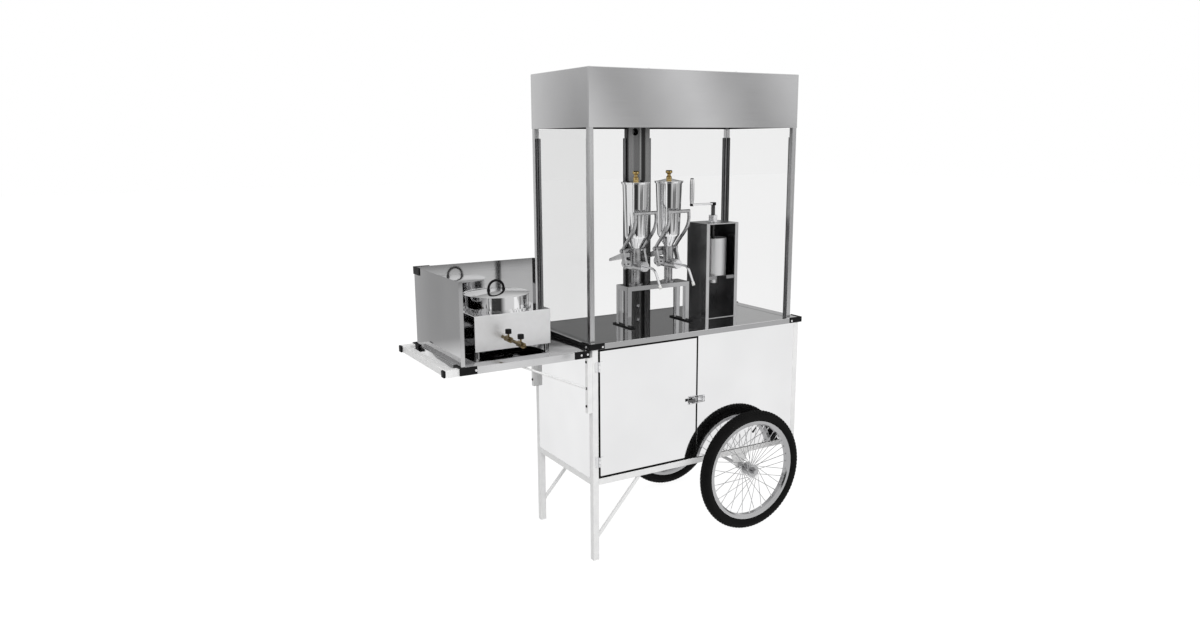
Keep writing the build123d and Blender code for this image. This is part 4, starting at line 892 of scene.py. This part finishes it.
valveNut = dict(radius=0.0112, length=0.008, edge=0.0008, reach=0.016, knobRise=0.020)
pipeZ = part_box("front_gas_knob")[0].z - valveNut["knobRise"]
clearSelection()
bpy.ops.mesh.primitive_cylinder_add(vertices=6, radius=valveNut["radius"], depth=valveNut["length"])
master = bpy.context.object
roundEdges(master, valveNut["edge"], 2, isOuterEdge)
parts = []
for side in ("front", "rear"):
    knobPlace = middle(side + "_gas_knob")
    for reach in (-valveNut["reach"], valveNut["reach"]):
        place = Matrix.Translation((knobPlace.x, knobPlace.y + reach, pipeZ)) @ facing((0, 1, 0))
        parts.append(copyTo(master, "nut", place))
dropPiece(master)

barb = dict(bore=0.002, inner=0.0044, outer=0.0058, pitch=0.006, lip=0.9, count=3, steps=20)
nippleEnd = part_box("gas_manifold")[0].y
barbShape = [(barb["bore"], 0.0)]
for index in range(barb["count"]):
    barbShape += [(barb["inner"], index * barb["pitch"]),
                  (barb["outer"], (index + barb["lip"]) * barb["pitch"]),
                  (barb["inner"], (index + 1) * barb["pitch"])]
knobPlace = middle("front_gas_knob")
parts.append(turnProfile("barbs", barbShape, (knobPlace.x, nippleEnd, pipeZ), "Y", barb["steps"]))
dressPiece(joinPieces("valve_nuts", parts), "cart", finishFor("gas_manifold"))
print("gas fittings made")


# Cast dispensers, hoppers and press pieces with softened edges

softEdges = dict(hoppers=0.0005, fryer_pot=0.0004, pump_bodies=0.0012, left_yoke=0.0014, right_yoke=0.0014,
                 dough_cylinder=0.0005, press_piston=0.0006, burner=0.001, pot_lid=0.0004, front_rim=0.0006,
                 back_rim=0.0006, crank_grip=0.0008, latch_bail=0.0003)
asTheyAre = ("pot_lid_handle", "stay_rods", "front_spoked_hub", "back_spoked_hub", "floor_panel",
             "glass_panes")
for nodeName, width in softEdges.items():
    piece = copyNode(nodeName)
    roundEdges(piece, width, 2, isOuterEdge)
    replaceNode(nodeName, piece)
for nodeName in asTheyAre:
    replaceNode(nodeName, copyNode(nodeName))
rimBarrel = dict(reach=0.201)
for side in ("front", "back"):
    hubPlace = wheelAxis[side]
    paintFaces(shapedPiece(side + "_rim"), wheelSteel, lambda centre, normal: (
        math.hypot(centre.x - hubPlace.x, centre.z - hubPlace.z) < rimBarrel["reach"]))
print("cast pieces softened")


# Studio: pale floor, white surroundings and five grey reflection cards

studio = dict(floorSize=60, floorColour=0.16, floorGlow=0.93, floorFill=0.55, skyFill=0.55)


def lightPathSwitch(tree, otherwise):  # 1 for camera, glossy and transmission rays, less for the rest
    path = addNode(tree, "LightPath").outputs
    seen = addNode(tree, "Math", {0: path["Is Camera Ray"], 1: path["Is Glossy Ray"]}, "MAXIMUM")
    through = addNode(tree, "Math", {0: seen.outputs[0], 1: path["Is Transmission Ray"]}, "MAXIMUM")
    return addNode(tree, "MapRange", {"Value": through.outputs[0], "To Min": otherwise}).outputs["Result"]


def barePaint(name):  # a material with nothing but its output
    paint = bpy.data.materials.new(name)
    paint.use_nodes = True
    paint.node_tree.nodes.remove(paint.node_tree.nodes["Principled BSDF"])
    return paint, paint.node_tree


world = bpy.data.worlds.new("whiteStudio")
world.use_nodes = True
bpy.context.scene.world = world
skyLevel = lightPathSwitch(world.node_tree, studio["skyFill"])
feed(world.node_tree, world.node_tree.nodes["Background"], {"Color": flatGrey(1), "Strength": skyLevel})

clearSelection()
bpy.ops.mesh.primitive_plane_add(size=studio["floorSize"], location=(0, 0, 0))
floor = bpy.context.object
floor.name = "studioFloor"
floorPaint, floorTree = barePaint("paleFloor")
matt = addNode(floorTree, "BsdfDiffuse", {"Color": flatGrey(studio["floorColour"])})
glowLevel = lightPathSwitch(floorTree, studio["floorFill"])
glow = addNode(floorTree, "Emission", {"Color": flatGrey(studio["floorGlow"]), "Strength": glowLevel})
both = addNode(floorTree, "AddShader", {0: matt.outputs["BSDF"], 1: glow.outputs["Emission"]})
mirrored = addNode(floorTree, "Emission", {"Color": flatGrey(1)})  # the even white that metal reflects
path = addNode(floorTree, "LightPath")
either = addNode(floorTree, "MixShader", {"Fac": path.outputs["Is Glossy Ray"], 1: both.outputs["Shader"],
                                          2: mirrored.outputs["Emission"]})
feed(floorTree, floorTree.nodes["Material Output"], {"Surface": either.outputs["Shader"]})
floor.data.materials.append(floorPaint)

cardGrey = dict(strip=1.1, pale=0.7, wall=0.48, flag=0.2, black=0.04)  # the cards' five greys
cardReach = dict(half=0.5, white=0.501)  # where a card ends before it is scaled, and where it has faded out


def greyCard(name, centre, size, bands, along="X", turn=0.0, lean=0.0, foot=0.0, head=0.0):  # for reflections
    clearSelection()
    upright = (math.radians(90), 0, math.radians(turn))
    bpy.ops.mesh.primitive_plane_add(size=1, location=centre, rotation=upright)
    card = bpy.context.object
    card.name = name
    card.scale = (size[0], size[1], 1)
    paint, tree = barePaint(name)
    spot = splitUp(tree, "TexCoord", "Object")
    slope = addNode(tree, "Math", {0: spot["Y"], 1: lean, 2: spot[along]}, "MULTIPLY_ADD")
    across = shareOf(tree, slope.outputs[0], -cardReach["half"], cardReach["half"])
    ramp = addNode(tree, "ValToRGB", {"Fac": across})
    setStops(ramp.color_ramp, bands, cardGrey)
    fromFoot = shareOf(tree, spot["Y"], -cardReach["white"], foot - cardReach["half"])
    fromHead = shareOf(tree, spot["Y"], cardReach["white"], cardReach["half"] - head)
    edges = addNode(tree, "Math", {0: fromFoot, 1: fromHead}, "MULTIPLY")  # 0 where the card is out in white
    blend = tree.nodes.new("ShaderNodeMix")
    blend.data_type = "RGBA"
    feed(tree, blend, {"Factor": edges.outputs[0], "A": flatGrey(1), "B": ramp.outputs["Color"]})
    shine = addNode(tree, "Emission", {"Color": blend.outputs["Result"]})
    feed(tree, tree.nodes["Material Output"], {"Surface": shine.outputs["Emission"]})
    card.data.materials.append(paint)
    card.visible_camera = False
    card.visible_diffuse = False
    card.visible_transmission = False
    card.visible_shadow = False


cards = dict(
    backCard=dict(centre=(1.2, 2.2, 1.63), size=(9.6, 2.74), foot=0.04, head=0.51,
                  bands=((0.22, "wall"), (0.26, "strip"), (0.29, "strip"), (0.36, "flag"), (0.575, "flag"),
                         (0.61, "wall"))),
    frontCard=dict(centre=(3.0, -4.6, 2.55), size=(7.0, 3.3), lean=0.265, foot=0.22,
                   bands=((0.0, "wall"), (0.30, "strip"), (0.34, "strip"), (0.39, "wall"), (0.42, "wall"),
                          (0.50, "strip"), (0.535, "strip"), (0.60, "wall"), (0.64, "wall"), (0.69, "strip"),
                          (0.78, "strip"), (1.0, "wall"))),
    lowCard=dict(centre=(1.6, -3.9, 0.55), size=(2.6, 1.08), along="Y", head=0.2,
                 bands=((0.42, "pale"), (0.50, "flag"))),
    cameraCard=dict(centre=(-2.0, -4.0, 1.1), size=(5.5, 2.2),
                    bands=((0.12, "wall"), (0.17, "black"), (0.66, "black"), (0.88, "pale"))),
    sideCard=dict(centre=(4.6, -1.6, 0.8), size=(7.6, 1.6), turn=90, bands=((0.62, "wall"), (0.70, "black"))),
)
for cardName, card in cards.items():
    greyCard(cardName, **card)

lamps = dict(
    keyLamp=dict(place=(-2.6, -4.2, 3.9), aim=(0, 0, 0.8), size=2.6, power=120),
    fillLamp=dict(place=(3.6, -3.4, 3.0), aim=(0.2, 0, 0.8), size=2.4, power=55),
    topLamp=dict(place=(0.2, 0.6, 4.6), aim=(0, 0, 0.8), size=2.8, power=60),
)
for lampName, lamp in lamps.items():
    clearSelection()
    bpy.ops.object.light_add(type="AREA", location=lamp["place"])
    lampObject = bpy.context.object
    lampObject.name = lampName
    lampObject.data.size = lamp["size"]
    lampObject.data.energy = lamp["power"]
    lampObject.visible_glossy = False
    towards = Vector(lamp["aim"]) - Vector(lamp["place"])
    lampObject.rotation_euler = towards.to_track_quat("-Z", "Y").to_euler()

camera = dict(place=(-1.8202, -3.0195, 1.5785), yaw=30.41, pitch=10.87, roll=-0.34, lens=27.07, sensor=36)
clearSelection()
bpy.ops.object.camera_add(location=camera["place"])
cameraObject = bpy.context.object
cameraObject.name = "photoCamera"
cameraObject.data.sensor_width = camera["sensor"]
cameraObject.data.lens = camera["lens"]
yaw, pitch, roll = (math.radians(camera[turn]) for turn in ("yaw", "pitch", "roll"))
ahead = Vector((math.sin(yaw) * math.cos(pitch), math.cos(yaw) * math.cos(pitch), -math.sin(pitch)))
across = Vector((math.cos(yaw), -math.sin(yaw), 0))
upward = across.cross(ahead)
leanAcross = across * math.cos(roll) + upward * math.sin(roll)
leanUp = upward * math.cos(roll) - across * math.sin(roll)
cameraObject.matrix_world = Matrix((
    (leanAcross.x, leanUp.x, -ahead.x, camera["place"][0]),
    (leanAcross.y, leanUp.y, -ahead.y, camera["place"][1]),
    (leanAcross.z, leanUp.z, -ahead.z, camera["place"][2]),
    (0, 0, 0, 1),
))
bpy.context.scene.camera = cameraObject
bpy.context.scene.view_settings.view_transform = "Standard"
clearSelection()
print("studio and camera set")
